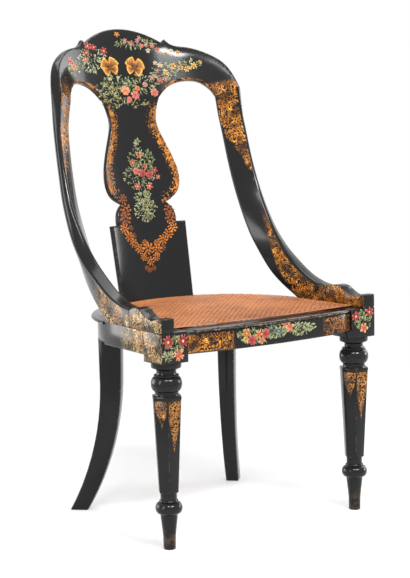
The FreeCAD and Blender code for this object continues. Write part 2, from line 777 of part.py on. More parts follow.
def stile_tenon(extra=0.0):
    """Tenon at the top of a stile, along the middle of the crest's shoulder."""
    corners = joint_corners()
    centre = (corners[0] + corners[1] + corners[2] + corners[3]) / 4
    inner, outer = shoulder_edges(1)
    half = crest_end_thickness / 2
    above = (crest_point(*inner, half) + crest_point(*outer, half)) / 2
    along = (above - centre).normalize()
    half_wide = (corners[1] - corners[0]).normalize() * (stile_tenon_width / 2 + extra)
    half_thick = (corners[3] - corners[0]).normalize() * (stile_tenon_thickness / 2 + extra)
    base = centre - along * overrun
    plan = polygon_face([base - half_wide - half_thick, base + half_wide - half_thick,
                         base + half_wide + half_thick, base - half_wide + half_thick])
    return plan.extrude(along * (overrun + stile_tenon_length + extra))


def foot_tenon(extra=0.0):
    """Tenon under a stile's foot, down into the side rail."""
    y = stile_seam + (side_rail_end - stile_seam) / 2
    middle = Vec(side_face(y) - side_board_thickness / 2, y, seat_height)
    depth = foot_tenon_depth + extra
    return upright_tenon(middle, Vec(foot_tenon_thickness + 2 * extra, 0, 0),
                         Vec(0, foot_tenon_length + 2 * extra, 0), depth, depth + overrun)


def stile():
    ribs = [rib(stile_corners(index), nose_share) for index in range(len(stile_station_shares))]
    ribs.append(rib(joint_corners(), joint_nose_share))
    sweep = Part.makeLoft(ribs, True, False)
    reach = 2 * stile_run
    below = block(Vec(0, -reach, 0), Vec(reach, reach, seat_height))
    return sweep.cut(below).fuse([stile_tenon(), foot_tenon()]).removeSplitter()


# Crest rail

def ear_height(x):
    """Top of the crest from an ear's tip down to the bend."""
    left = (bend_reach - x) / (bend_reach - ear_reach)
    fall = ear_slope_share * left + (1 - ear_slope_share) * left ** ear_hollow_power
    return seat_height + crest_end_rise + (ear_rise - crest_end_rise) * fall


def arch_height(x):
    """Edge of an opening from the bend down to the splat's top."""
    left = (bend_reach - x) / (bend_reach - splat_top_half)
    return splat_top + (arch_rise - splat_rise) * (1 - left ** arch_power)


def crest_outline():
    """Front view of the crest, from the splat over an opening to the stile's
    joint and back over the ear and the hump."""
    inner = [(bend_reach, seat_height + arch_rise)]
    outer = [(bend_reach, seat_height + crest_end_rise)]
    for index in reversed(range(len(shoulder_shares))):
        edges = shoulder_edges(index)
        inner.append(edges[0])
        outer.append(edges[1])
    for share in ear_point_shares:
        x = bend_reach + (ear_reach - bend_reach) * share
        outer.insert(0, (x, ear_height(x)))
    for share in arch_point_shares:
        x = bend_reach + (splat_top_half - bend_reach) * share
        inner.insert(0, (x, arch_height(x)))
    flow = [(edge[0] - above[0], edge[1] - above[1])
            for edge, above in zip(shoulder_edges(0), shoulder_edges(1))]
    ends = [(edge[0] + step[0], edge[1] + step[1]) for edge, step in zip(shoulder_edges(0), flow)]
    valley = (valley_reach, seat_height + valley_rise)
    splat_end = (splat_top_half, splat_top - overrun)
    right = [
        (line, [splat_end, inner[0]]),
        (curve, inner),
        (line, [inner[-1], ends[0]]),
        (line, [ends[0], ends[1]]),
        (line, [ends[1], outer[-1]]),
        (curve, outer[::-1]),
        (line, [outer[0], valley]),
    ]
    return closed_outline(right, (arc, [valley, (0, seat_height + crest_rise), (-valley[0], valley[1])]))


def crest_rail():
    board = bent_board(splat_top, crest_lean_share, crest_thickness, crest_back_radius(), crest_outline())
    under = block(Vec(-bend_reach, 0, splat_top - 2 * crest_thickness),
                  Vec(bend_reach, 2 * back_foot, splat_top))
    ends = joint_cut()
    tenon = stile_tenon(fit_clearance)
    return board.cut([under, ends, mirrored(ends), tenon, mirrored(tenon),
                      splat_tenons(fit_clearance)[1]])


# Scroll feet in front of the stiles

def scroll_profile():
    """Side outline of a scroll foot, its upstand at the front."""
    base = seat_height
    front = -block_half
    seam = Vec(0, stile_seam, base + seam_rise)
    peak = Vec(0, scroll_peak_back, base + scroll_peak_rise)
    dip = Vec(0, scroll_dip_back, base + scroll_dip_rise)
    hollow = Vec(0, scroll_hollow_back, base + scroll_hollow_rise)
    sagging = (dip + hollow) / 2 - Vec(0, 0, scroll_sag)
    upstand = Vec(0, front + upstand_depth, base + upstand_rise)
    front_top = Vec(0, front, base + upstand_rise)
    front_base = Vec(0, front, base)
    back_base = Vec(0, stile_seam, base)
    return Part.Face(Part.Wire([
        line(back_base, seam), arc(seam, peak, dip), arc(dip, sagging, hollow),
        line(hollow, upstand), line(upstand, front_top), line(front_top, front_base),
        line(front_base, back_base)]))


def scroll_foot():
    profile = scroll_profile()
    reach = side_outer + overrun
    profile.translate(Vec(reach, 0, 0))
    foot = profile.extrude(Vec(-2 * side_board_thickness, 0, 0))
    front = -block_half - overrun
    back = stile_seam + overrun
    plan = polygon_face([
        Vec(side_outer, front, 0),
        Vec(side_outer, block_half, 0),
        Vec(side_face(back), back, 0),
        Vec(side_face(back) - side_board_thickness, back, 0),
        Vec(side_outer - side_board_thickness, block_half, 0),
        Vec(side_outer - side_board_thickness, front, 0),
    ])
    foot = foot.common(plan.extrude(Vec(0, 0, 2 * seat_height)))
    return foot.fuse(scroll_tenon()).removeSplitter()


def scroll_tenon(extra=0.0):
    """Tenon under a scroll foot, down into the front leg's block."""
    middle = Vec(side_outer - side_board_thickness / 2, -block_half / 3, seat_height)
    depth = scroll_tenon_depth + extra
    return upright_tenon(middle, Vec(scroll_tenon_thickness + 2 * extra, 0, 0),
                         Vec(0, scroll_tenon_length + 2 * extra, 0), depth, depth + overrun)


# Corner blocks

def corner_block(points, bodies):
    """Glued block from its plan corners, scribed to the pieces it touches."""
    z = rail_bottom + (rail_height - corner_block_height) / 2
    plan = polygon_face([Vec(x, y, z) for x, y in points])
    solid = plan.extrude(Vec(0, 0, corner_block_height))
    return solid.cut(Part.makeCompound(bodies))


def front_corner_points():
    inner = leg_half_spacing - block_half
    rail = front_face_end + front_rail_thickness
    side = side_face(block_half + corner_block_leg) - side_rail_thickness - rail_ledge
    return [(inner - corner_block_leg, rail - overrun), (inner + overrun, rail - overrun),
            (side + 2 * overrun, block_half), (side + 2 * overrun, block_half + corner_block_leg),
            (side - overrun, block_half + corner_block_leg), (inner - corner_block_leg, rail + overrun)]


def rear_corner_points():
    side = side_face(side_rail_end) - side_rail_thickness - rail_ledge
    half = corner_block_leg / 2
    return [(side + overrun, side_rail_end - half), (side + overrun, side_rail_end + half),
            (side - 2 * overrun, side_rail_end + half), (side - 3 * overrun, side_rail_end),
            (side - 2 * overrun, side_rail_end - half)]


def whole_chair():
    """Every piece of the chair by its name."""
    rails = [front_rail(), side_rail(), back_rail()]
    leg = placed_front_leg()
    bodies = rails + [leg]
    right = {
        "stile": stile(),
        "scroll_foot": scroll_foot(),
        "side_rail": rails[1],
        "front_leg": leg,
        "rear_leg": placed_rear_leg(),
        "corner_block_front": corner_block(front_corner_points(), bodies),
        "corner_block_rear": corner_block(rear_corner_points(), bodies),
    }
    pieces = {}
    for name, shape in right.items():
        pieces[name + "_right"] = shape
        pieces[name + "_left"] = mirrored(shape)
    pieces["crest_rail"] = crest_rail()
    pieces["splat"] = splat()
    pieces["seat_frame"] = seat_frame()
    pieces["front_rail"] = rails[0]
    pieces["back_rail"] = rails[2]
    pieces["cane_panel"] = cane_panel()
    pieces["cane_binding"] = cane_binding()
    return pieces


def main():
    os.makedirs("parts", exist_ok=True)
    pieces = whole_chair()
    everything = Part.makeCompound(list(pieces.values()))
    box = everything.optimalBoundingBox(False)
    shift = Vec(-(box.XMin + box.XMax) / 2, -(box.YMin + box.YMax) / 2, -box.ZMin)
    for name, shape in pieces.items():
        shape.translate(shift)
        shape.exportStep("parts/" + name + ".step")
        print(name, len(shape.Solids), round(shape.Volume), shape.isValid())
    print("size", round(box.XLength, 1), round(box.YLength, 1), round(box.ZLength, 1), "shift", shift)


main()
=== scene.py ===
import bpy
import bmesh
import math
import random
import numpy
from mathutils import Matrix, Vector
from mathutils.bvhtree import BVHTree
from mathutils.kdtree import KDTree


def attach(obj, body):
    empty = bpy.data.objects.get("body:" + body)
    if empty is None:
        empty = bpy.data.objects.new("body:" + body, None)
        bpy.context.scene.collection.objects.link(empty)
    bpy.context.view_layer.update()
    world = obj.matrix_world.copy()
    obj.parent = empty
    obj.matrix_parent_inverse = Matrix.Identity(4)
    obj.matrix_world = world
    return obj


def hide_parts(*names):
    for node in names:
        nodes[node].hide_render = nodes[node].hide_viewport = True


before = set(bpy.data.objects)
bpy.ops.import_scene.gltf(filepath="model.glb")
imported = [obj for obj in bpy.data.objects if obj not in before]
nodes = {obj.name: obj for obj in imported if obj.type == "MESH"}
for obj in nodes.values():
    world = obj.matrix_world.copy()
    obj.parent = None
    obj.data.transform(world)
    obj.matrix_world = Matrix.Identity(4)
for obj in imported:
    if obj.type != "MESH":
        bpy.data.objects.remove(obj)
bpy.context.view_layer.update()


# Shader helpers: a wrapped socket that takes sums, and one material's builder

class Wire:
    def __init__(self, paint, socket):
        self.paint = paint
        self.socket = socket

    def sum(self, operation, *values):
        return self.paint.add("ShaderNodeMath", {"operation": operation}, *values)

    def __add__(self, other):
        return self.sum("ADD", self, other)

    def __radd__(self, other):
        return self.sum("ADD", other, self)

    def __sub__(self, other):
        return self.sum("SUBTRACT", self, other)

    def __rsub__(self, other):
        return self.sum("SUBTRACT", other, self)

    def __mul__(self, other):
        return self.sum("MULTIPLY", self, other)

    def __rmul__(self, other):
        return self.sum("MULTIPLY", other, self)

    def abs(self):
        return self.sum("ABSOLUTE", self)

    def fraction(self):
        return self.sum("FRACT", self)

    def most(self, other):
        return self.sum("MAXIMUM", self, other)

    def ramp(self, low, high):  # 0 at low, 1 at high, smooth between; low may be the larger
        settings = {"interpolation_type": "SMOOTHSTEP"}
        if high > low:
            return self.paint.add("ShaderNodeMapRange", settings, self, low, high, 0.0, 1.0)
        return self.paint.add("ShaderNodeMapRange", settings, self, high, low, 1.0, 0.0)


class Paint:
    def __init__(self, name):
        self.material = bpy.data.materials.new(name)
        self.material.use_nodes = True
        self.tree = self.material.node_tree
        self.shader = self.tree.nodes["Principled BSDF"]

    def add(self, kind, settings, *values, out=0, **named):
        node = self.tree.nodes.new(kind)
        for key, value in settings.items():
            setattr(node, key, value)
        for place, value in list(enumerate(values)) + list(named.items()):
            self.feed(node.inputs[place], value)
        return Wire(self, node.outputs[out])

    def feed(self, socket, value):
        if isinstance(value, Wire):
            self.tree.links.new(value.socket, socket)
        elif value is not None:
            socket.default_value = value

    def set(self, **values):
        for name, value in values.items():
            self.feed(self.shader.inputs[name.replace("_", " ")], value)

    def mix(self, share, low, high):
        node = self.tree.nodes.new("ShaderNodeMix")
        node.data_type = "RGBA"
        for place, value in ((0, share), (6, low), (7, high)):
            self.feed(node.inputs[place], value)
        return Wire(self, node.outputs[2])

    def place(self):
        return self.add("ShaderNodeTexCoord", {}, out="Object")

    def axes(self):
        return self.apart(self.place())

    def facing(self):
        return self.apart(self.add("ShaderNodeTexCoord", {}, out="Normal"))

    def unwrapped(self):
        return self.add("ShaderNodeUVMap", {"uv_map": "along"})

    def mark(self, name, out="Fac"):
        return self.add("ShaderNodeAttribute", {"attribute_name": name}, out=out)

    def apart(self, vector):
        return [self.add("ShaderNodeSeparateXYZ", {}, vector, out=axis) for axis in "XYZ"]

    def noise(self, place, scale, detail=2.0, out=0):
        return self.add("ShaderNodeTexNoise", {}, place, out=out, Scale=scale, Detail=detail)

    def bump(self, height, strength, distance):
        return self.add("ShaderNodeBump", {}, Strength=strength, Distance=distance, Height=height)


# Finishes

lacquerLook = {
    "colour": (0.0075, 0.0075, 0.008, 1),
    "worn": (0.075, 0.045, 0.022, 1),
    # a pale tone for the seat board's front edge: wear, and a painted highlight
    "rubbedSheen": (0.24, 0.19, 0.13, 1),
    "roughness": 0.13,
    "specular": 0.25,
}
giltLook = {
    "dark": (0.130, 0.034, 0.006, 1),
    "gold": (0.540, 0.200, 0.022, 1),
    "bright": (0.860, 0.480, 0.085, 1),
    "dulling": 0.34,
    "brown": (0.185, 0.062, 0.014, 1),
    "tanDark": (0.200, 0.120, 0.055, 1),
    "tan": (0.480, 0.325, 0.140, 1),
    "tanBright": (0.720, 0.560, 0.300, 1),
    "scale": 108.0,
    "metallic": 0.22,
    "roughness": 0.40,
}


def scrollwork(paint, place, scale):
    # winding bands between the levels of a warped noise, with small leaves among them
    warp = paint.noise(place, scale * 0.7, 1.0, out="Color")
    bent = paint.add("ShaderNodeVectorMath", {"operation": "MULTIPLY_ADD"}, warp,
                     (0.9 / scale,) * 3, place)
    level = paint.noise(bent, scale, 0.0)
    bands = ((level * 4.6).fraction() - 0.5).abs().ramp(0.29, 0.17)
    leaves = paint.add("ShaderNodeTexVoronoi", {}, bent, Scale=scale * 1.9).ramp(0.40, 0.25)
    return bands.most(leaves)


def lacquerBase(paint, worn=None, wearAndSheen="worn"):
    # colour, roughness and relief; worn is a mask of spots worn through besides the worn edges; on the seat
    # board that mask is a painted highlight as well as wear
    place = paint.place()
    cloud = paint.noise(place, 9.0, 3.0)
    grain = paint.noise(place, 420.0, 2.0)
    edge = paint.mark("arris") * paint.noise(place, 150.0, 3.0).ramp(0.50, 0.66)
    if worn is not None:
        edge = edge.most(worn)
    colour = paint.mix(edge * 0.8, lacquerLook["colour"], lacquerLook[wearAndSheen])
    rough = cloud * 0.14 + lacquerLook["roughness"] - 0.05 + edge * 0.25
    return colour, rough, grain * 0.12 + cloud


def finishLacquer(paint, colour, rough, relief, metal=None):
    paint.set(Base_Color=colour, Roughness=rough, Metallic=metal,
              Specular_IOR_Level=lacquerLook["specular"], Normal=paint.bump(relief, 0.05, 0.0015))
    return paint.material


def lacquer(name="blackLacquer", worn=None, wearAndSheen="worn"):
    paint = Paint(name)
    mask = worn(paint) if worn else None
    return finishLacquer(paint, *lacquerBase(paint, mask, wearAndSheen))


def gilded(name, mask, place=None, tan=None, dim=None, worn=None, stipple=False, scale=None):
    # lacquer with scrolls wherever mask(paint) says; tan(paint) is the share of the paler gold
    # and dim(paint) the share that has gone brown
    paint = Paint(name)
    colour, rough, relief = lacquerBase(paint, worn(paint) if worn else None)
    spot = place(paint) if place else paint.place()
    scale = scale or giltLook["scale"]
    if stipple:
        cover = mask(paint)
        wet = (cover * 0.27 + paint.noise(spot, scale * 2.6, 1.0)).ramp(0.62, 0.72)
        wet = wet * cover.ramp(0.01, 0.15)
    else:
        bunches = paint.noise(spot, scale * 0.36, 1.0).ramp(0.36, 0.54)
        wet = scrollwork(paint, spot, scale) * mask(paint) * (bunches * 0.72 + 0.28)
    shade = paint.noise(spot, scale * 0.8, 2.0)
    tones = []
    for dark, gold, bright in (("dark", "gold", "bright"), ("tanDark", "tan", "tanBright")):
        tone = paint.mix(shade.ramp(0.30, 0.52), giltLook[dark], giltLook[gold])
        tones.append(paint.mix(shade.ramp(0.54, 0.74), tone, giltLook[bright]))
    gold = paint.mix(tan(paint), *tones) if tan else tones[0]
    dull = paint.noise(spot, 16.0, 2.0).ramp(0.58, 0.42) * giltLook["dulling"]
    gold = paint.mix(dull, gold, tones[0] if tan else giltLook["dark"])
    if dim:
        gold = paint.mix(dim(paint), gold, giltLook["brown"])
    colour = paint.mix(wet, colour, gold)
    rough = rough * (1.0 - wet) + wet * giltLook["roughness"]
    return finishLacquer(paint, colour, rough, relief + wet * 0.8, wet * giltLook["metallic"])


beechLook = {"dark": (0.33, 0.18, 0.075, 1), "light": (0.50, 0.31, 0.15, 1), "fleck": (0.20, 0.10, 0.04, 1),
             "grain": (18.0, 300.0, 300.0)}


def bareWood():
    paint = Paint("bareBeech")
    place = paint.place()
    grain = paint.noise(paint.add("ShaderNodeMapping", {}, place, Scale=beechLook["grain"]), 1.0, 4.0)
    fleck = paint.noise(place, 600.0, 1.0).ramp(0.6, 0.72)
    colour = paint.mix(grain.ramp(0.3, 0.7), beechLook["dark"], beechLook["light"])
    colour = paint.mix(fleck * 0.5, colour, beechLook["fleck"])
    paint.set(Base_Color=colour, Roughness=grain * 0.2 + 0.5, Normal=paint.bump(grain, 0.3, 0.0005))
    return paint.material


# Small helpers for every piece

sideNames = {-1: "left", 1: "right"}


def placed(name, data):
    piece = bpy.data.objects.new(name, data)
    bpy.context.scene.collection.objects.link(piece)
    return piece


def meshOf(name, shape):
    mesh = bpy.data.meshes.new(name)
    shape.to_mesh(mesh)
    shape.free()
    return mesh


def finished(name, shape, material, *replaced, slot="black_lacquer", angle=38):
    mesh = meshOf(name, shape)
    mesh.materials.append(material)
    mesh.shade_smooth()
    mesh.set_sharp_from_angle(angle=math.radians(angle))
    piece = placed(name, mesh)
    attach(piece, "root")
    if replaced:
        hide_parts(*replaced)
    return piece


def only(kind, items):
    return [item for item in items if isinstance(item, kind)]


def treeOf(points):
    tree = KDTree(len(points))
    for index, point in enumerate(points):
        tree.insert(point, index)
    tree.balance()
    return tree


def whole(shape):
    return shape.verts[:] + shape.edges[:] + shape.faces[:]


def bevelled(shape, edges, width, segments, clamp=True):
    # the rounded faces are marked, because lacquer wears there first
    made = bmesh.ops.bevel(shape, geom=edges, offset=width, offset_type="OFFSET", segments=segments,
                           affect="EDGES", profile=0.5, material=-1, clamp_overlap=clamp)
    arris = shape.loops.layers.float.get("arris") or shape.loops.layers.float.new("arris")
    for face in made["faces"]:
        for loop in face.loops:
            loop[arris] = 1.0


# Pieces made from the frame's own solids, with rounded edges

roundings = {
    "seat_frame": 0.0009, "front_rail": 0.0012, "back_rail": 0.0010, "side_rail": 0.0010,
    "scroll_foot": 0.0022, "rear_leg": 0.0022, "cane_binding": 0.0004,
}
sharpAngle = 32
chairReach = {"front": -0.24516, "side": 0.23881}


def roundEdges(shape, width):
    sharp = [edge for edge in shape.edges if len(edge.link_faces) == 2 and edge.is_convex
             and edge.calc_face_angle(0) >= math.radians(sharpAngle)]
    bevelled(shape, sharp, width, 2)


def keptInside(shape):
    # nothing stands out of the chair's own box
    for vert in shape.verts:
        vert.co.y = max(vert.co.y, chairReach["front"])
        vert.co.x = min(max(vert.co.x, -chairReach["side"]), chairReach["side"])
    return shape


def roundedNode(node, material, slot="black_lacquer", side=None):
    width, words = roundings[node], node.split("_")
    if side:
        node, words = node + "_" + side, [side] + words
    shape = bmesh.new()
    shape.from_mesh(nodes[node].data)
    bmesh.ops.remove_doubles(shape, verts=shape.verts, dist=1e-5)
    bmesh.ops.dissolve_limit(shape, angle_limit=math.radians(1.5), verts=shape.verts, edges=shape.edges)
    roundEdges(shape, width)
    name = words[0] + "".join(word.capitalize() for word in words[1:])
    return finished(name, keptInside(shape), material, node, slot=slot)


# Back: crest and splat sawn flat, rounded, cut into fine strips and bent

backLook = {
    "shift": 0.205666,         # front legs' axes to the middle of the footprint
    "seat": 0.380,
    "foot": 0.33173,           # splat's front face on the seat, behind the legs' axes
    "splatTop": 0.763,
    "splatLean": 0.193,
    "crestLean": 0.254,
    "hollow": 0.292,
    "crestBack": 0.3405,
    "crestThick": 0.0115,
    "strip": 0.005,
    "crestRound": 0.0032,
    "splatRound": 0.0020,
    "pillow": 0.0030,          # how far the crest's front rolls back at its top edge
    "pillowReach": 0.020,
    "pillowFrom": 0.785, "pillowFull": 0.820, "pillowDepthShare": 0.6,
    "rollsAbove": 0.803, "rollsOutside": 0.180, "rollsPast": 0.860,
    "curveStep": 0.004, "sample": 0.0005, "closest": 0.0004, "humpSteps": 48,
    "weld": 0.0003,            # how near the outline lies to a joint that it belongs to
}


def backLine(z):
    rise = z - backLook["seat"]
    most = backLook["splatTop"] - backLook["seat"]
    front = backLook["foot"] - backLook["shift"] + backLook["splatLean"] * min(rise, most)
    return front + backLook["crestLean"] * max(0.0, rise - most)


def throughPoints(points):
    # smooth curve through the points, its bends shared out as in a thin wood strip
    points = numpy.array(points)
    spans = numpy.linalg.norm(numpy.diff(points, axis=0), axis=1)
    count = len(points)
    rows = numpy.eye(count)
    right = numpy.zeros((count, 2))
    for k in range(1, count - 1):
        a, b = spans[k - 1], spans[k]
        rows[k, k - 1:k + 2] = a / 6, (a + b) / 3, b / 6
        right[k] = (points[k + 1] - points[k]) / b - (points[k] - points[k - 1]) / a
    bends = numpy.linalg.solve(rows, right)
    out = []
    for k, span in enumerate(spans):
        steps = max(1, round(span / backLook["curveStep"]))
        for step in range(steps):
            t = step / steps
            s = 1 - t
            point = points[k] * s + points[k + 1] * t
            point = point + (bends[k] * (s ** 3 - s) + bends[k + 1] * (t ** 3 - t)) * span ** 2 / 6
            out.append(tuple(point))
    return out + [tuple(points[-1])]


def arcThrough(a, b, c, steps=12):
    # round piece through three points
    (ax, az), (bx, bz), (cx, cz) = a, b, c
    twice = 2 * (ax * (bz - cz) + bx * (cz - az) + cx * (az - bz))
    aa, bb, cc = ax ** 2 + az ** 2, bx ** 2 + bz ** 2, cx ** 2 + cz ** 2
    ux = (aa * (bz - cz) + bb * (cz - az) + cc * (az - bz)) / twice
    uz = (aa * (cx - bx) + bb * (ax - cx) + cc * (bx - ax)) / twice
    radius = math.hypot(ax - ux, az - uz)
    first, middle, last = (math.atan2(z - uz, x - ux) for x, z in (a, b, c))
    while last < first:
        last += 2 * math.pi
    while middle < first:
        middle += 2 * math.pi
    if middle > last:
        last -= 2 * math.pi
    return [(ux + radius * math.cos(first + (last - first) * step / steps),
             uz + radius * math.sin(first + (last - first) * step / steps)) for step in range(steps + 1)]


def wholeOutline(half):
    points = []
    for x, z in half + [(-x, z) for x, z in reversed(half)]:
        if not points or math.dist((x, z), points[-1]) > backLook["closest"]:
            points.append((x, z))
    return points


splatLook = {
    "thick": 0.009,
    "baseHalf": 0.0815, "shoulderHalf": 0.085, "shoulder": 0.5265,
    "lobeHalf": 0.0665, "notchHalf": 0.0504, "notch": 0.5645,
    "bulgeHalf": 0.084,
    "vase": [(0.6, 0.0), (0.893, 0.083), (1.0, 0.24), (0.905, 0.43),
             (0.74, 0.607), (0.625, 0.768), (0.672, 0.899), (0.762, 1.0)],
}


def splatOutline():
    look = splatLook
    rise = backLook["splatTop"] - look["notch"]
    vase = [(across * look["bulgeHalf"], look["notch"] + up * rise) for across, up in look["vase"]]
    lobe = (look["lobeHalf"] + (look["notchHalf"] - look["lobeHalf"]) * 0.25,
            look["shoulder"] + (look["notch"] - look["shoulder"]) * 0.667)
    half = [(look["baseHalf"], backLook["seat"]), (look["shoulderHalf"], look["shoulder"])]
    half += arcThrough((look["lobeHalf"], look["shoulder"]), lobe, vase[0])
    return wholeOutline(half + throughPoints(vase))


crestLook = {
    "archTop": 0.7955, "archPower": 2.45, "splatHalf": 0.064, "bend": 0.128,
    "endTop": 0.861, "earReach": 0.0935, "earTop": 0.8765, "valleyReach": 0.0855, "valleyTop": 0.871,
    "top": 0.897,
    "earSlope": 0.25, "earHollow": 4.0,
    "earShares": (1.0, 0.75, 0.4), "archShares": (1.0, 0.82, 0.6, 0.3),
    # inner edge across and up, outer edge across and up, from the joint to the bend
    "shoulder": [(0.8063, 0.1216, 0.9922, 0.2946), (0.7844, 0.2198, 0.9629, 0.5063),
                 (0.7444, 0.3153, 0.9029, 0.7261), (0.6917, 0.3850, 0.8024, 0.8775)],
    "halfSpan": 0.205, "joint": 0.750, "jointRise": 0.111,
}


def shoulderEdges(row):
    look = crestLook
    return [(row[k] * look["halfSpan"], look["joint"] + row[k + 1] * look["jointRise"]) for k in (0, 2)]


def crestOutline():
    look = crestLook
    rows = [shoulderEdges(row) for row in look["shoulder"]]
    inner = [rows[k][0] for k in range(4)] + [(look["bend"], look["archTop"])]
    outer = [rows[k][1] for k in range(4)] + [(look["bend"], look["endTop"])]
    for share in reversed(look["archShares"]):
        x = look["bend"] + (look["splatHalf"] - look["bend"]) * share
        up = 1 - share ** look["archPower"]
        inner.append((x, backLook["splatTop"] + (look["archTop"] - backLook["splatTop"]) * up))
    for share in reversed(look["earShares"]):
        x = look["bend"] + (look["earReach"] - look["bend"]) * share
        fall = look["earSlope"] * share + (1 - look["earSlope"]) * share ** look["earHollow"]
        outer.append((x, look["endTop"] + (look["earTop"] - look["endTop"]) * fall))
    hump = arcThrough((look["valleyReach"], look["valleyTop"]), (0, look["top"]),
                      (-look["valleyReach"], look["valleyTop"]), backLook["humpSteps"])
    right = hump[:backLook["humpSteps"] // 2 + 1]
    return wholeOutline(throughPoints(inner)[::-1] + throughPoints(outer) + right)


def bentPlace(x, z, depth, lean):
    # point of a bent board's hollow front, or the point depth square behind it
    tilt = math.atan(lean)
    inwards = math.sqrt(backLook["hollow"] ** 2 - x ** 2) / backLook["hollow"]
    foot = backLook["seat"] if lean == backLook["splatLean"] else backLook["splatTop"]
    line = backLine(foot) + lean * (z - foot)
    front = Vector((x, line - backLook["hollow"] * (1 - inwards) / math.cos(tilt), z))
    square = Vector((x / backLook["hollow"], inwards * math.cos(tilt), -inwards * math.sin(tilt)))
    return front + square * depth


def crestDepth(x):
    radius, hollow = backLook["crestBack"], backLook["hollow"]
    between = radius - hollow - backLook["crestThick"]
    inwards = math.sqrt(hollow ** 2 - x ** 2) / hollow
    return math.sqrt(radius ** 2 - between ** 2 * (1 - inwards ** 2)) - between * inwards - hollow


def cutStrips(shape, low, high, axis):
    normal = Vector([1.0 if place == axis else 0.0 for place in range(3)])
    count = int((high - low) / backLook["strip"])
    for index in range(1, count):
        at = normal * (low + index * (high - low) / count)
        bmesh.ops.bisect_plane(shape, geom=whole(shape), dist=1e-6, plane_co=at, plane_no=normal)


def nearest(outline, chosen):
    # distance to the chosen stretches of an outline
    points = []
    for (ax, az), (bx, bz) in zip(outline, outline[1:] + outline[:1]):
        steps = max(1, round(math.hypot(bx - ax, bz - az) / backLook["sample"]))
        points += [(ax + (bx - ax) * k / steps, az + (bz - az) * k / steps) for k in range(steps)]
    tree = treeOf([(x, 0, z) for x, z in points if chosen(x, z)])
    return lambda x, z: tree.find((x, 0, z))[2]


def rollsBack(x, z):
    # the crest's top edge, its bends and the outer edge of its shoulders
    high = z > backLook["rollsAbove"] or abs(x) > backLook["rollsOutside"]
    return high and abs(x) + z > backLook["rollsPast"]


def crestJoint(x, z):
    # the crest's outline on the splat and on the stiles
    (innerX, innerZ), (outerX, outerZ) = shoulderEdges(crestLook["shoulder"][0])
    weld = backLook["weld"]
    onStile = z < innerZ + (abs(x) - innerX) / (outerX - innerX) * (outerZ - innerZ) + weld
    return z < backLook["splatTop"] + weld or onStile and abs(x) > innerX - weld


def splatJoint(x, z):
    return z < backLook["seat"] + backLook["weld"] or z > backLook["splatTop"] - backLook["weld"]


def bentBoard(name, node, outline, lean, depth, width, material, plain, pillow=0.0):
    # plain(x, z) tells where the outline is a joint, which stays square
    shape = bmesh.new()
    face = shape.faces.new([shape.verts.new((x, 0, z)) for x, z in outline])
    back = bmesh.ops.extrude_face_region(shape, geom=[face])["geom"]
    bmesh.ops.translate(shape, vec=(0, 1, 0), verts=only(bmesh.types.BMVert, back))
    bmesh.ops.recalc_face_normals(shape, faces=shape.faces)
    for vert in shape.verts:
        vert.co.y *= depth(vert.co.x)
    edges = []
    for edge in shape.edges:
        flat = [face for face in edge.link_faces if abs(face.normal.y) > 0.9]
        if len(flat) == 1 and not all(plain(vert.co.x, vert.co.z) for vert in edge.verts):
            edges.append(edge)
    bevelled(shape, edges, width, 4, clamp=False)
    bmesh.ops.remove_doubles(shape, verts=shape.verts, dist=2e-5)
    xs, zs = [x for x, z in outline], [z for x, z in outline]
    cutStrips(shape, min(xs), max(xs), 0)
    cutStrips(shape, min(zs), max(zs), 2)
    rim = shape.verts.layers.float.new("rim")
    toRim = nearest(outline, lambda x, z: not plain(x, z))
    toTop = nearest(outline, rollsBack) if pillow else None
    for vert in shape.verts:
        x, z = vert.co.x, vert.co.z
        vert[rim] = toRim(x, z)
        roll = 0.0
        if pillow:  # none where the crest meets a stile
            above = (z - backLook["pillowFrom"]) / (backLook["pillowFull"] - backLook["pillowFrom"])
            roll = max(0.0, 1 - toTop(x, z) / backLook["pillowReach"]) ** 2 * pillow * min(1.0, max(0.0, above))
        share = max(0.0, 1 - vert.co.y / (depth(x) * backLook["pillowDepthShare"]))
        vert.co = bentPlace(x, z, vert.co.y + roll * share, lean)
    bmesh.ops.recalc_face_normals(shape, faces=shape.faces)
    return finished(name, shape, material, node, angle=42)


# Stiles: sections in the frame's own stations, swept with rounded corners

stileLook = {
    "width": 0.050,
    "thick": 0.020,
    "seam": 0.076,             # behind the front legs' axes
    "run": 0.34573,
    "legHalf": 0.2112,
    "jointRise": 0.370,
    # out from the legs' axes, back, up, width, thickness, lean, turn
    "stations": [
        (0.208, 0.000, 0.0310, 0.830, 1.350, 90, 0),
        (0.175, 0.146, 0.0390, 1.010, 1.350, 67, 3),
        (0.118, 0.293, 0.0830, 1.010, 1.320, 54, 10),
        (0.044, 0.463, 0.1619, 1.050, 1.280, 50, 20),
        (0.000, 0.590, 0.2459, 0.990, 1.300, 44, 30),
        (-0.054, 0.711, 0.3570, 0.990, 1.200, 36, 40),
        (-0.110, 0.832, 0.5216, 0.974, 0.900, 24, 47),
        (-0.186, 0.912, 0.6892, 0.962, 0.740, 16, 50),
        (-0.254, 0.969, 0.8541, 0.960, 0.720, 10, 52),
        (-0.309, 0.990, 0.9300, 0.975, 0.800, 5, 52),
    ],
    "outerRound": 0.0056,
    "innerRound": 0.0034,
    "jointRound": 0.0034,
    "jointFade": 0.07,         # over which the outer edges' rounding falls to the joint's
    "between": 7, "cornerSteps": 4,
}


def jointCorners():
    ends = shoulderEdges(crestLook["shoulder"][0])
    front = [bentPlace(*end, 0.0, backLook["crestLean"]) for end in ends]
    back = [bentPlace(*end, crestDepth(end[0]), backLook["crestLean"]) for end in ends]
    normal = (front[1] - front[0]).cross(back[0] + back[1] - front[0] - front[1]).normalized()
    back = [point - normal * (point - front[0]).dot(normal) for point in back]
    return [front[0], front[1], back[1], back[0]]


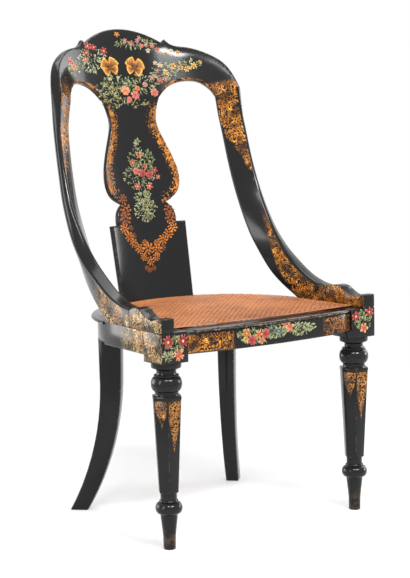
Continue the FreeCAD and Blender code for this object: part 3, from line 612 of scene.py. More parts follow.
def stationCorners(station):
    across, back, up, wideShare, thickShare, lean, turn = station
    lean, turn = math.radians(lean), math.radians(turn)
    centre = Vector((stileLook["legHalf"] + across * stileLook["width"],
                     stileLook["seam"] + back * (stileLook["run"] - stileLook["seam"]) - backLook["shift"],
                     backLook["seat"] + up * stileLook["jointRise"]))
    forward = Vector((0, -math.cos(lean), math.sin(lean)))
    wide = forward * math.cos(turn) + Vector((math.sin(turn), 0, 0))
    thick = Vector((math.cos(turn), 0, 0)) - forward * math.sin(turn)
    wide = wide * (stileLook["width"] * wideShare / 2)
    thick = thick * (stileLook["thick"] * thickShare / 2)
    return [centre - wide - thick, centre + wide - thick, centre + wide + thick, centre - wide + thick]


def smoothBetween(rows, steps):
    # a curve through each corner of the rows, with its pace set by their spacing
    out = []
    count = len(rows)
    pace = [0.0]
    for a, b in zip(rows, rows[1:]):
        pace.append(pace[-1] + ((a[0] + a[2]) / 2 - (b[0] + b[2]) / 2).length)
    slopes = []
    for index in range(count):
        before, after = max(index - 1, 0), min(index + 1, count - 1)
        slopes.append([(rows[after][k] - rows[before][k]) / (pace[after] - pace[before])
                       for k in range(len(rows[0]))])
    for index in range(count - 1):
        span = pace[index + 1] - pace[index]
        for step in range(steps + (index == count - 2)):
            t = step / steps
            a, b = 2 * t ** 3 - 3 * t ** 2 + 1, t ** 3 - 2 * t ** 2 + t
            c, d = 3 * t ** 2 - 2 * t ** 3, t ** 3 - t ** 2
            out.append((pace[index] + span * t, [
                rows[index][k] * a + slopes[index][k] * (b * span)
                + rows[index + 1][k] * c + slopes[index + 1][k] * (d * span) for k in range(len(rows[0]))]))
    return out, pace[-1]


def roundedSection(corners, rounds):
    points = []
    steps = stileLook["cornerSteps"]
    for index, corner in enumerate(corners):
        before = (corners[index - 1] - corner).normalized()
        after = (corners[(index + 1) % 4] - corner).normalized()
        size = min(rounds[index], (corners[index - 1] - corner).length * 0.45)
        for step in range(steps + 1):
            angle = math.pi / 2 * step / steps
            points.append(corner + before * size * (1 - math.sin(angle)) + after * size * (1 - math.cos(angle)))
    return points


def nextLoop(shape, loop, edges):
    # the ring of vertices once more, extruded, in the same order
    made = bmesh.ops.extrude_edge_only(shape, edges=edges)["geom"]
    fresh = only(bmesh.types.BMVert, made)
    edges = [edge for edge in only(bmesh.types.BMEdge, made) if all(vert in fresh for vert in edge.verts)]
    tree = treeOf([vert.co for vert in loop])
    ordered = [None] * len(loop)
    for vert in fresh:
        ordered[tree.find(vert.co)[1]] = vert
    return ordered, edges


def unwrap(shape, run, lap, around):
    # a map in metres: along the stile and round it, the last face closed past the first
    uv = shape.loops.layers.uv.new("along")
    for face in shape.faces:
        laps = [loop.vert[lap] for loop in face.loops]
        wraps = max(laps) - min(laps) > 0.05
        for loop in face.loops:
            past = loop.vert[around] if wraps and loop.vert[lap] < 0.03 else 0.0
            loop[uv].uv = (loop.vert[run], loop.vert[lap] + past)


def stile(side, material):
    look = stileLook
    rows, length = smoothBetween([stationCorners(row) for row in look["stations"]] + [jointCorners()],
                                 look["between"])
    shape = bmesh.new()
    layers = [shape.verts.layers.float.new(name) for name in ("run", "lap", "around")]
    loop = None
    for run, corners in rows:
        share = min(1.0, (length - run) / look["jointFade"])
        outer = look["jointRound"] + (look["outerRound"] - look["jointRound"]) * share
        points = roundedSection(corners, (look["innerRound"], outer, outer, look["innerRound"]))
        if loop:
            loop, edges = nextLoop(shape, loop, edges)
            for vert, point in zip(loop, points):
                vert.co = point
        else:
            loop = [shape.verts.new(point) for point in points]
            edges = [shape.edges.new((loop[k - 1], loop[k])) for k in range(len(loop))]
        steps = [(points[k] - points[k - 1]).length for k in range(len(points))]
        lap = 0.0
        for k, vert in enumerate(loop):
            lap += steps[k] if k else 0.0
            vert[layers[0]], vert[layers[1]], vert[layers[2]] = run, lap, sum(steps)
    bmesh.ops.holes_fill(shape, edges=shape.edges, sides=0)
    cut = bmesh.ops.bisect_plane(shape, geom=whole(shape), dist=1e-6, plane_co=(0, 0, backLook["seat"]),
                                 plane_no=(0, 0, 1), clear_inner=True)
    bmesh.ops.edgeloop_fill(shape, edges=only(bmesh.types.BMEdge, cut["geom_cut"]))
    unwrap(shape, *layers)
    if side < 0:
        bmesh.ops.scale(shape, vec=(-1, 1, 1), verts=shape.verts)
    bmesh.ops.recalc_face_normals(shape, faces=shape.faces)
    word = sideNames[side]
    return finished(word + "Stile", shape, material, "stile_" + word, angle=60)


# Front legs: block, turnings, six-sided shaft and peg foot

legLook = {
    "axis": 0.2112,
    "blockHalf": 0.0275,
    "blockLow": 0.3268,
    "arrisRound": 0.0011,
    # the turned outline as (radius, height), upper and lower parts
    "upper": [
        (0.0, 0.3268), (0.0255, 0.3268), (0.0261, 0.3262), (0.0261, 0.3192), (0.0254, 0.3176),
        (0.0230, 0.3164), (0.0196, 0.3152), (0.0174, 0.3132), (0.0170, 0.3112), (0.0171, 0.3082),
        (0.0178, 0.3064), (0.0206, 0.3058), (0.0216, 0.3046), (0.0216, 0.3028), (0.0208, 0.3020),
        (0.0222, 0.3014), (0.0240, 0.2999), (0.0256, 0.2970), (0.0266, 0.2932), (0.0269, 0.2894),
        (0.0266, 0.2856), (0.0256, 0.2818), (0.0240, 0.2788), (0.0222, 0.2772), (0.0207, 0.2764),
        (0.0203, 0.2745), (0.0203, 0.2720), (0.0208, 0.2700), (0.0216, 0.2694), (0.0, 0.2694),
    ],
    "lower": [
        (0.0, 0.1016), (0.0143, 0.1016), (0.0143, 0.0872), (0.0160, 0.0868), (0.0166, 0.0860),
        (0.0166, 0.0844), (0.0161, 0.0835), (0.0180, 0.0830), (0.0203, 0.0814), (0.0222, 0.0787),
        (0.0233, 0.0755), (0.0236, 0.0726), (0.0232, 0.0696), (0.0220, 0.0665), (0.0200, 0.0641),
        (0.0176, 0.0629), (0.0157, 0.0622), (0.0152, 0.0612), (0.0145, 0.0540), (0.0133, 0.0440),
        (0.0121, 0.0340), (0.0112, 0.0250), (0.0108, 0.0180), (0.0107, 0.0080), (0.0107, 0.0016),
        (0.0101, 0.0004), (0.0094, 0.0), (0.0, 0.0),
    ],
    "cap": (0.0279, 0.2694, 0.0279, 0.2625),
    "shaft": (0.0272, 0.2625, 0.0188, 0.1005),
    "turns": 40,
}


def turning(shape, outline, x, y):
    verts = [shape.verts.new((x + radius, y, height)) for radius, height in outline]
    edges = [shape.edges.new(pair) for pair in zip(verts, verts[1:])]
    bmesh.ops.spin(shape, geom=verts + edges, cent=(x, y, 0), axis=(0, 0, 1), angle=2 * math.pi,
                   steps=legLook["turns"], use_merge=True, use_duplicate=False)


def sixSided(shape, look, x, y):
    topSide, top, bottomSide, bottom = look
    seat = Matrix.Translation((x, y, top)) @ Matrix.Rotation(math.radians(30), 4, "Z")
    made = bmesh.ops.create_circle(shape, cap_ends=True, segments=6, radius=topSide, matrix=seat)
    face = [face for face in shape.faces if set(face.verts) == set(made["verts"])]
    grown = bmesh.ops.extrude_face_region(shape, geom=face)["geom"]
    for vert in only(bmesh.types.BMVert, grown):
        vert.co = Vector((x + (vert.co.x - x) * bottomSide / topSide,
                          y + (vert.co.y - y) * bottomSide / topSide, bottom))


def frontLeg(side, material):
    shape = bmesh.new()
    x, y = side * legLook["axis"], -backLook["shift"]
    for look in (legLook["cap"], legLook["shaft"]):
        sixSided(shape, look, x, y)
    half, low, top = legLook["blockHalf"], legLook["blockLow"], backLook["seat"]
    block = Matrix.Translation((x, y, (low + top) / 2)) @ Matrix.Diagonal((2 * half, 2 * half, top - low, 1))
    bmesh.ops.create_cube(shape, size=1.0, matrix=block)
    bmesh.ops.recalc_face_normals(shape, faces=shape.faces)
    roundEdges(shape, legLook["arrisRound"])
    for outline in (legLook["upper"], legLook["lower"]):
        turning(shape, outline, x, y)
    bmesh.ops.remove_doubles(shape, verts=shape.verts, dist=1e-5)
    bmesh.ops.recalc_face_normals(shape, faces=shape.faces)
    word = sideNames[side]
    return finished(word + "FrontLeg", shape, material, "front_leg_" + word)


# Cane: six ways of split cane, crowned, under its binding

caneLook = {
    "pitch": 0.0115,
    "width": 0.0021,
    "thick": 0.0005,
    "pairGap": 0.0034,
    "height": 0.3815,
    "crown": 0.0048, "crownPower": 0.8,
    "front": 0.004, "frontBow": 0.010, "frontHalf": 0.2111,
    "backHalf": 0.2008, "sideEnd": 0.165, "back": 0.32703,
    "inset": 0.0012,
    "middle": 0.16, "ways": 34, "halfRun": 90,   # where the weave is counted from, and how far
    "light": (0.58, 0.22, 0.070, 1),
    "dark": (0.20, 0.055, 0.014, 1),
}


def arcHeight(x, half, bow):
    radius = (half ** 2 + bow ** 2) / (2 * bow)
    return bow - (radius - math.sqrt(max(radius ** 2 - x ** 2, 0.0)))


def insideCane(x, y):
    look = caneLook
    front = look["front"] + look["inset"] - arcHeight(x, look["frontHalf"], look["frontBow"])
    back = look["sideEnd"] + arcHeight(x, look["backHalf"], look["back"] - look["sideEnd"]) - look["inset"]
    share = (y - look["front"]) / (look["sideEnd"] - look["front"])
    half = look["frontHalf"] + (look["backHalf"] - look["frontHalf"]) * min(share, 1.0) - look["inset"]
    return abs(x) < half and front < y < back


def caneHeight(x, y):
    look = caneLook
    middle = (look["front"] + look["back"]) / 2
    reach = (look["back"] - look["front"]) / 2
    rise = max(0.0, 1 - (x / look["frontHalf"]) ** 2) * max(0.0, 1 - ((y - middle) / reach) ** 2)
    return look["height"] + look["crown"] * rise ** look["crownPower"]


def strand(shape, start, direction, lift, wave):
    # one flat strand along a line, cut where the panel ends
    look = caneLook
    step = look["pitch"] / 2
    run = [start + direction * (index * step) for index in range(-look["halfRun"], look["halfRun"] + 1)]
    inside = [point for point in run if insideCane(point.x, point.y)]
    if len(inside) < 3:
        return
    sideways = Vector((-direction.y, direction.x)) * look["width"] / 2
    made = bmesh.ops.create_grid(shape, x_segments=len(inside) - 1, y_segments=1, size=1.0)
    verts = sorted(made["verts"], key=lambda vert: (round(vert.co.x, 5), vert.co.y))
    for index, point in enumerate(inside):
        z = caneHeight(point.x, point.y) + lift + wave(point) * look["thick"]
        for vert, way in ((verts[2 * index], -1), (verts[2 * index + 1], 1)):
            place = point + sideways * way
            vert.co = (place.x, place.y - backLook["shift"], z)


def caneSheet(material):
    look = caneLook
    shape = bmesh.new()
    pitch, thick, middle = look["pitch"], look["thick"], look["middle"]

    def wave(shareX, shareY, turned=0):
        return lambda point: math.cos(2 * math.pi * (point.x * shareX + point.y * shareY) / pitch + turned)

    for index in range(-look["ways"], look["ways"] + 1):
        at = index * pitch
        for way in (-1, 1):
            beside, lift = at + way * look["pairGap"] / 2, way * thick * 0.3
            strand(shape, Vector((beside, middle)), Vector((0, 1)), lift, wave(0, 1))
            strand(shape, Vector((0, middle + beside)), Vector((1, 0)), thick + lift, wave(1, 0))
        for way in (-1, 1):
            slanting = Vector((1, way)).normalized()
            turned = math.pi if way > 0 else 0
            strand(shape, Vector((at + pitch / 2, middle)), slanting, thick * 2.2, wave(1, 0, turned))
    bmesh.ops.recalc_face_normals(shape, faces=shape.faces)
    for face in shape.faces:
        if face.normal.z < 0:
            face.normal_flip()
    piece = finished("caneSheet", shape, material, "cane_panel", slot="cane", angle=60)
    thicken = piece.modifiers.new("thickness", "SOLIDIFY")
    thicken.thickness = look["thick"]
    thicken.offset = 0
    return piece


def caneFinish():
    paint = Paint("splitCane")
    place = paint.place()
    patch = paint.noise(place, 14.0, 3.0)
    streak = paint.noise(place, 330.0, 3.0)
    colour = paint.mix((streak * 0.6 + patch * 0.4).ramp(0.34, 0.62), caneLook["dark"], caneLook["light"])
    paint.set(Base_Color=colour, Roughness=streak * 0.25 + 0.30, Normal=paint.bump(streak, 0.25, 0.0003))
    return paint.material


# Painted flowers: short raised brush strokes laid on the lacquer, placed from the picture

inks = {  # the dark and the light end of a stroke
    "red": ((0.20, 0.010, 0.014), (0.62, 0.110, 0.100)),
    "pink": ((0.36, 0.06, 0.05), (0.72, 0.25, 0.18)),
    "peach": ((0.50, 0.13, 0.05), (0.86, 0.41, 0.21)),
    "orange": ((0.38, 0.09, 0.015), (0.80, 0.30, 0.05)),
    "yellow": ((0.46, 0.22, 0.03), (0.87, 0.62, 0.21)),
    "white": ((0.45, 0.32, 0.20), (0.88, 0.78, 0.60)),
    "mauve": ((0.26, 0.09, 0.09), (0.64, 0.36, 0.30)),
    "blue": ((0.03, 0.06, 0.14), (0.20, 0.28, 0.42)),
    "green": ((0.025, 0.050, 0.016), (0.26, 0.33, 0.13)),
    "pale": ((0.08, 0.10, 0.045), (0.53, 0.54, 0.31)),
    "olive": ((0.07, 0.06, 0.01), (0.42, 0.34, 0.10)),
    "wing": ((0.20, 0.040, 0.006), (0.66, 0.28, 0.045)),
    "vein": ((0.40, 0.14, 0.015), (0.82, 0.46, 0.09)),
    "umber": ((0.04, 0.012, 0.004), (0.13, 0.040, 0.010)),
    "garland": ((0.20, 0.042, 0.005), (0.78, 0.27, 0.034)),
    "rust": ((0.10, 0.022, 0.005), (0.42, 0.125, 0.028)),
}
strokeLook = {
    "unit": 0.00185,           # one picture pixel on the chair
    "rise": 0.00030,
    "seed": 4711,
    "sides": 8, "rings": 4,
    "fullness": 2.5,           # leaves for each one counted in a spray
    "leaf": 4.5, "petal": 1.12, "rosette": 1.15,
    "patch": 900,
}
chance = random.Random(strokeLook["seed"])


class Ground:
    # surfaces that carry paint, found along picture rays or close by
    def __init__(self, pieces):
        points, faces = [], []
        for piece in pieces:
            first = len(points)
            points += [vert.co.copy() for vert in piece.data.vertices]
            faces += [[first + index for index in face.vertices] for face in piece.data.polygons]
        self.tree = BVHTree.FromPolygons(points, faces)

    def seen(self, x, y):
        right, up, back = cameraAxes()
        wide, high = cameraPlace["pixels"]
        way = right * (x - wide / 2) + up * (high / 2 - y) - back * cameraPlace["focalPixels"]
        point, normal, index, away = self.tree.ray_cast(Vector(cameraPlace["point"]), way.normalized())
        if point is None:
            return None
        slant = abs(normal.dot(way.normalized()))
        return Spot(self, point, normal, min(2.2, max(1.0, 0.8 / slant)))


class Spot:
    # stretch widens the marks painted where the surface turns away
    def __init__(self, ground, point, normal, stretch=1.0):
        self.ground, self.point, self.normal, self.stretch = ground, point, normal, stretch
        upwards = Vector((0, 0, 1))
        self.up = (upwards - normal * upwards.dot(normal)).normalized()
        self.right = self.up.cross(normal) * stretch

    def moved(self, across, rise):
        goal = self.point + (self.right * across + self.up * rise) * strokeLook["unit"]
        point, normal, index, away = self.ground.tree.find_nearest(goal)
        return Spot(self.ground, point, normal, self.stretch)

    def around(self, angle, reach):
        return self.moved(math.cos(angle) * reach, math.sin(angle) * reach)


class Canvas:
    # strokes gather on a small patch first, as a large mesh is slow to add to
    def __init__(self):
        self.shape = bmesh.new()
        self.shape.verts.layers.float_color.new("ink")
        self.begin()

    def begin(self):
        self.patch = bmesh.new()
        self.ink = self.patch.verts.layers.float_color.new("ink")

    def lay(self):
        mesh = bpy.data.meshes.new("patch")
        self.patch.to_mesh(mesh)
        self.patch.free()
        self.shape.from_mesh(mesh)
        bpy.data.meshes.remove(mesh)
        self.begin()

    def stroke(self, spot, angle, length, width, ink, low=0.0, high=1.0, lift=0.0):
        # low and high are the shares of the lighter colour at the stroke's start and end
        unit = strokeLook["unit"]
        way = spot.right * math.cos(angle) + spot.up * math.sin(angle)
        side = spot.normal.cross(way)
        thick = strokeLook["rise"]
        columns = (way * (length * unit / 2), side * (width * unit / 2), spot.normal * thick)
        turned = Matrix(columns).transposed().to_4x4()
        seat = Matrix.Translation(spot.point + spot.normal * (thick * lift))
        made = bmesh.ops.create_uvsphere(self.patch, u_segments=strokeLook["sides"],
                                         v_segments=strokeLook["rings"], radius=1.0, matrix=seat @ turned)
        dark, light = (Vector(tone) for tone in inks[ink])
        shift = chance.uniform(-0.22, 0.16)
        for vert in made["verts"]:
            share = (vert.co - spot.point).dot(way) / (length * unit) + 0.5
            share = min(1.0, max(0.0, low + (high - low) * share + shift))
            vert[self.ink] = (*(dark + (light - dark) * share), 1.0)
        if len(self.patch.verts) > strokeLook["patch"]:
            self.lay()

    def dab(self, spot, size, ink, share=0.8, lift=0.8):
        self.stroke(spot, 0.0, size, size, ink, share, share, lift)

    def ring(self, spot, count, reach, jitter=0.0):
        turn = chance.uniform(0, math.pi)
        for index in range(count):
            angle = turn + 2 * math.pi * index / count
            if jitter:
                angle += chance.uniform(-jitter, jitter)
            yield angle, spot.around(angle, reach)

    def blossom(self, spot, radius, ink, heart, petals):
        for angle, seat in self.ring(spot, petals, radius * 0.56, 0.15):
            self.stroke(seat, angle, radius * 0.88, radius * 4.0 / petals * 0.76, ink, -0.35, 1.05, 0.4)
            self.stroke(seat, angle, radius * 0.66, radius * 0.16, ink, -0.6, 0.5, 0.85)
        self.dab(spot, radius * 0.42, heart, 0.7, 1.2)

    def rose(self, spot, radius, ink):
        for count, reach, size, low, lift in ((7, 0.66, 0.62, -0.1, 0.4), (5, 0.32, 0.55, -0.5, 0.9)):
            for angle, seat in self.ring(spot, count, radius * reach):
                self.stroke(seat, angle, radius * size, radius * size * 1.1, ink, low, 1.0, lift)
        self.dab(spot, radius * 0.30, "red", 0.3, 1.4)

    def rosette(self, spot, radius, ink):
        for count, reach, size in ((8, 0.72, 0.62), (5, 0.33, 0.5)):
            for angle, seat in self.ring(spot, count, radius * reach):
                self.stroke(seat, angle + 0.5, radius * size, radius * 0.34, ink, 0.0, 1.0, 0.3)

    def foliage(self, ground, x, y, wide, high, count, ink):
        for index in range(round(count * strokeLook["fullness"])):
            turn, reach = chance.uniform(0, 2 * math.pi), math.sqrt(chance.uniform(0, 1))
            across, rise = math.cos(turn) * reach * wide, math.sin(turn) * reach * high
            spot = ground.seen(x + across, y - rise)
            if spot:
                angle = math.atan2(rise / high + 0.2, across / wide) + chance.uniform(-0.9, 0.9)
                length = strokeLook["leaf"] * chance.uniform(0.6, 1.15)
                tone = chance.choice((ink, ink, ink, "green", "pale", "pale", "olive"))
                self.stroke(spot, angle, length, length * 0.29, tone, -0.1, 0.95)

    def butterfly(self, spot, size, tilt):
        for side in (-1, 1):
            for count, first, spread, length in ((6, 0.25, 0.95, 0.92), (5, -0.95, 0.90, 0.72)):
                reach = length * size
                for index in range(2 * count - 1):  # the wing's lobes, then the veins between them
                    vein = index >= count
                    angle = first + spread * (index - count + 0.5 if vein else index) / (count - 1)
                    angle = tilt + (angle if side > 0 else math.pi - angle)
                    if vein:
                        self.stroke(spot.around(angle, reach * 0.5), angle, reach * 0.75, size * 0.055,
                                    "umber", 0.6, 0.0, 1.5)
                    else:
                        self.stroke(spot.around(angle, reach * 0.52), angle, reach, reach * 0.42,
                                    "wing", 0.3, 1.0, 0.2 + 0.1 * (index % 2))
                        self.dab(spot.around(angle, reach * 0.9), size * 0.17, "vein", 0.9, 1.0)
        self.stroke(spot, tilt + math.pi / 2, size * 0.95, size * 0.17, "umber", 0.2, 1.0, 1.7)

    def finish(self, name, material):
        self.lay()
        self.patch.free()
        return finished(name, keptInside(self.shape), material, angle=180)


# Places in picture pixels. Foliage: middle, half width, half height, leaves and ink. Blossoms, roses
# and rosettes: middle, radius and ink. Butterflies: middle, size and tilt.
sprays = {
    "crest": {
        "foliage": [(92, 60, 14, 13, 46, "pale"), (75, 68, 6, 8, 14, "pale"), (118, 84, 19, 9, 40, "green"),
                    (140, 85, 18, 10, 34, "pale"), (108, 90, 13, 8, 22, "olive"), (135, 44, 22, 5, 26, "green"),
                    (165, 71, 14, 8, 26, "pale"), (187, 64, 15, 5, 18, "olive"), (125, 103, 24, 5, 26, "olive"),
                    (112, 97, 9, 6, 14, "olive")],
        "blossoms": [(87.5, 46, 4.0, "red"), (93.5, 47.5, 3.4, "red"), (86, 53, 3.4, "red"),
                     (85.5, 59.5, 3.2, "pink"), (103.7, 51, 4.0, "red"), (70, 59.5, 2.5, "pink"),
                     (73, 65, 2.6, "pink"), (75, 69, 2.2, "peach"), (71.5, 62.5, 2.0, "red"),
                     (116.7, 34.5, 3.0, "orange"), (125, 41, 2.8, "mauve"), (131, 43, 2.8, "pink"),
                     (137, 41, 2.6, "mauve"), (141, 45.5, 2.6, "pink"), (146, 44.5, 2.7, "mauve"),
                     (152, 46, 2.6, "pink"), (148, 50.5, 2.6, "white"), (139, 37.5, 2.2, "mauve"),
                     (157, 49, 2.4, "pink"), (152, 77.5, 3.4, "mauve"), (160, 80.5, 3.4, "pink"),
                     (166, 79, 3.0, "mauve"), (160, 65, 2.9, "white"), (157, 71, 2.5, "mauve"),
                     (165, 53.7, 2.2, "yellow"), (171, 51, 2.4, "white"), (177.5, 52.5, 2.4, "yellow"),
                     (173, 66, 3.2, "yellow"), (180.5, 67.5, 3.0, "yellow"), (187, 69, 3.2, "yellow"),
                     (193.5, 65.5, 3.4, "yellow"), (166, 72.5, 2.8, "yellow"), (200, 62, 1.9, "yellow"),
                     (155, 63, 2.2, "white"), (110, 79, 2.0, "white"), (118, 77.5, 1.8, "white")],
        "roses": [(125.5, 90.5, 5.6, "peach"), (135.5, 95, 5.2, "pink"), (154.5, 92.5, 4.8, "pink"),
                  (129.5, 99.5, 3.6, "pink"), (137.5, 88.5, 3.2, "orange"), (145, 84.5, 3.2, "mauve")],
        "butterflies": [(110, 68, 13.4, 0.15), (134.5, 68, 13.4, -0.25)],
    },
    "splat": {
        "foliage": [(141, 158, 13, 10, 36, "green"), (140, 176, 16, 14, 44, "green"),
                    (137.5, 144, 3, 6, 9, "pale"), (143, 196, 8, 8, 22, "pale"),
                    (146, 210, 11, 11, 46, "pale"), (147, 203, 5, 12, 16, "olive")],
        "blossoms": [(132.5, 162.5, 3.6, "pink"), (154.5, 170, 3.4, "red"), (137.7, 186.5, 3.8, "pink"),
                     (149.5, 186, 4.0, "pink"), (145, 166, 2.8, "pink"), (139, 155, 3.6, "peach"),
                     (158, 177, 2.6, "pink")],
        "roses": [(136, 171, 4.2, "pink"), (142.5, 173, 4.4, "red"), (149.5, 174.5, 4.4, "red")],
        "rosettes": [(125.5, 210, 6.6, "rust"), (125.5, 219, 6.4, "rust"), (124.5, 229, 5.0, "garland"),
                     (129.5, 237, 5.0, "garland"), (134, 243.5, 4.6, "garland"),
                     (139.5, 249, 5.0, "garland"), (148.5, 248.5, 6.2, "garland"),
                     (157.5, 249.5, 5.4, "garland"), (150.5, 261, 4.4, "garland"),
                     (144, 257, 4.0, "garland"), (156.5, 257, 4.0, "garland"), (147, 268, 2.6, "rust"),
                     (134, 236, 3.0, "rust"), (145, 243, 3.4, "garland"), (157, 243, 3.6, "garland"),
                     (163, 247, 3.2, "rust"), (131, 228, 2.6, "rust"), (154, 268, 2.6, "rust"),
                     (163, 239.5, 5.0, "garland"), (168.5, 233.5, 5.0, "garland"), (172.5, 227, 5.2, "garland"),
                     (170.5, 218, 5.8, "rust"), (169, 209.5, 5.6, "rust"), (150, 270, 2.6, "rust"),
                     (123, 199, 4.6, "rust"), (167.5, 200, 4.0, "rust")],
    },
    "front": {
        "foliage": [(255, 336, 18, 7, 46, "green"), (276, 331, 10, 8, 34, "green"),
                    (296, 328, 16, 7, 44, "pale"), (309, 326, 6, 4, 10, "pale"), (175, 345, 9, 9, 30, "green"),
                    (168, 357, 6, 5, 12, "pale"), (363, 320, 8, 10, 30, "green")],
        "blossoms": [(246.5, 333.5, 4.6, "orange"), (258.8, 334.8, 4.4, "peach"), (261.8, 340, 3.8, "peach"),
                     (246, 339.5, 3.2, "yellow"), (278.7, 331, 3.0, "blue"), (284.5, 324.5, 3.4, "peach"),
                     (289.7, 327, 4.9, "peach"), (271, 328, 2.4, "blue"), (168, 342.5, 5.8, "red"),
                     (183, 341, 6.0, "red"), (179, 355, 5.6, "peach"), (356, 316.5, 4.8, "red"),
                     (369.3, 312, 4.8, "red"), (364, 328, 4.8, "peach")],
        "roses": [(252.3, 340, 5.0, "red"), (266, 333.5, 5.0, "red")],
    },
}


def strokeFinish(name, metallic):
    paint = Paint(name)
    place = paint.place()
    streak = paint.noise(place, 900.0, 2.0)
    crackle = paint.noise(place, 260.0, 3.0).ramp(0.36, 0.48)
    colour = paint.mix(crackle * 0.5 + 0.5, (0.03, 0.02, 0.012, 1), paint.mark("ink", "Color"))
    paint.set(Base_Color=colour, Roughness=streak * 0.3 + 0.28, Metallic=metallic,
              Specular_IOR_Level=0.3, Normal=paint.bump(streak, 0.25, 0.0004))
    return paint.material


def paintSprays(carriers):
    ground = Ground(carriers)
    flowers, gilt = strokeFinish("oilColours", 0.0), strokeFinish("bronzePowder", 0.25)
    for part, marks in sprays.items():
        canvas = Canvas()
        for row in marks["foliage"]:
            canvas.foliage(ground, *row)
        for x, y, radius, ink in marks["blossoms"]:
            heart = "red" if ink in ("yellow", "peach") else "yellow"
            petals = chance.choice((5, 6)) if radius < 5.5 else 9
            canvas.blossom(ground.seen(x, y), radius * strokeLook["petal"], ink, heart, petals)
        for x, y, radius, ink in marks["roses"]:
            canvas.rose(ground.seen(x, y), radius, ink)
        for x, y, size, tilt in marks.get("butterflies", ()):
            canvas.butterfly(ground.seen(x, y), size, tilt)
        canvas.finish(part + "Spray", flowers)
        if "rosettes" in marks:
            canvas = Canvas()
            for x, y, radius, ink in marks["rosettes"]:
                canvas.rosette(ground.seen(x, y), radius * strokeLook["rosette"], ink)
            canvas.finish(part + "Garland", gilt)


# Floor, light and camera

# glow is the share of plain white under the chair, rising to all of it past the shadow
floorLook = {"size": 12.0, "colour": (0.95, 0.95, 0.95, 1), "glow": 0.45, "shadow": (0.75, 1.7)}


def floor():
    shape = bmesh.new()
    bmesh.ops.create_grid(shape, x_segments=1, y_segments=1, size=floorLook["size"])
    mesh = meshOf("floor", shape)
    piece = placed("floor", mesh)
    paint = Paint("whitePaper")
    paint.set(Base_Color=floorLook["colour"], Roughness=0.85, Specular_IOR_Level=0.1)
    rays = [paint.add("ShaderNodeLightPath", {}, out=name)
            for name in ("Is Camera Ray", "Is Glossy Ray", "Is Transmission Ray")]
    seen = rays[0].most(rays[1]).most(rays[2])
    away = paint.add("ShaderNodeVectorMath", {"operation": "LENGTH"}, paint.place(), out="Value")
    share = seen * (away.ramp(*floorLook["shadow"]) * (1 - floorLook["glow"]) + floorLook["glow"])
    white = paint.add("ShaderNodeEmission", {}, (1, 1, 1, 1), 1.0)
    blend = paint.add("ShaderNodeMixShader", {}, share)
    paint.tree.links.new(paint.shader.outputs[0], blend.socket.node.inputs[1])
    paint.tree.links.new(white.socket, blend.socket.node.inputs[2])
    paint.tree.links.new(blend.socket, paint.tree.nodes["Material Output"].inputs[0])
    mesh.materials.append(paint.material)


cameraPlace = {
    "point": (-1.9239, -2.6489, 0.8404),
    "turn": -36.342,
    "rise": 7.446,
    "roll": -0.972,
    "focalPixels": 1777.93,
    "pixels": (410, 578),
}


def cameraAxes():
    turn, rise, roll = (math.radians(cameraPlace[key]) for key in ("turn", "rise", "roll"))
    back = Vector((math.sin(turn) * math.cos(rise), -math.cos(turn) * math.cos(rise), math.sin(rise)))
    right = Vector((math.cos(turn), math.sin(turn), 0))
    up = back.cross(right)
    return (right * math.cos(roll) + up * math.sin(roll), up * math.cos(roll) - right * math.sin(roll), back)


def camera():
    data = bpy.data.cameras.new("camera")
    data.sensor_width = 36
    data.lens = 36 * cameraPlace["focalPixels"] / max(cameraPlace["pixels"])
    piece = placed("camera", data)
    rows = Matrix(cameraAxes()).transposed().to_4x4()
    piece.matrix_world = Matrix.Translation(Vector(cameraPlace["point"])) @ rows
    bpy.context.scene.camera = piece


lamps = {
    "window": {"point": (-1.7, -2.3, 3.6), "aim": (0, 0, 0.5), "size": (1.3, 1.3), "power": 98},
    "leftStrip": {"point": (-2.7, -0.3, 1.3), "aim": (0, 0, 0.6), "size": (0.6, 1.9), "power": 28},
    "leftWall": {"point": (-1.8, 2.4, 0.75), "aim": (-0.2, -0.1, 0.4), "size": (2.0, 1.5), "power": 46},
    "rightWall": {"point": (2.6, 0.25, 1.3), "aim": (0, 0, 0.6), "size": (1.1, 1.9), "power": 24},
    "arrisStrip": {"point": (2.8, -1.0, 0.75), "aim": (0.15, 0, 0.7), "size": (0.25, 0.9), "power": 22},
    "top": {"point": (0.3, 0.6, 2.9), "aim": (0, 0, 0.5), "size": (1.8, 1.8), "power": 40},
    "crestBox": {"point": (-0.03, -2.34, 2.42), "aim": (0.1, 0.2, 0.85), "size": (0.95, 0.46), "power": 88},
}


def lights():
    for name, look in lamps.items():
        data = bpy.data.lights.new(name, "AREA")
        data.shape = "RECTANGLE"
        data.size, data.size_y = look["size"]
        data.energy = look["power"]
        piece = placed(name, data)
        piece.location = look["point"]
        aim = Vector(look["aim"]) - Vector(look["point"])
        piece.rotation_euler = aim.to_track_quat("-Z", "Y").to_euler()
    world = bpy.data.worlds.new("paleRoom")
    bpy.context.scene.world = world
    world.use_nodes = True
    tree = world.node_tree
    rays = tree.nodes.new("ShaderNodeLightPath")
    ground = tree.nodes["Background"]
    ground.inputs["Color"].default_value = (1, 1, 1, 1)
    seen = rays.outputs["Is Camera Ray"]
    for name in ("Is Glossy Ray", "Is Transmission Ray"):
        either = tree.nodes.new("ShaderNodeMath")
        either.operation = "MAXIMUM"
        tree.links.new(seen, either.inputs[0])
        tree.links.new(rays.outputs[name], either.inputs[1])
        seen = either.outputs[0]
    tree.links.new(seen, ground.inputs["Strength"])


# Where the gilding lies: a pair says where a mask begins and where it is full

def frontOnly(paint):
    return paint.facing()[1].ramp(-0.25, -0.5)


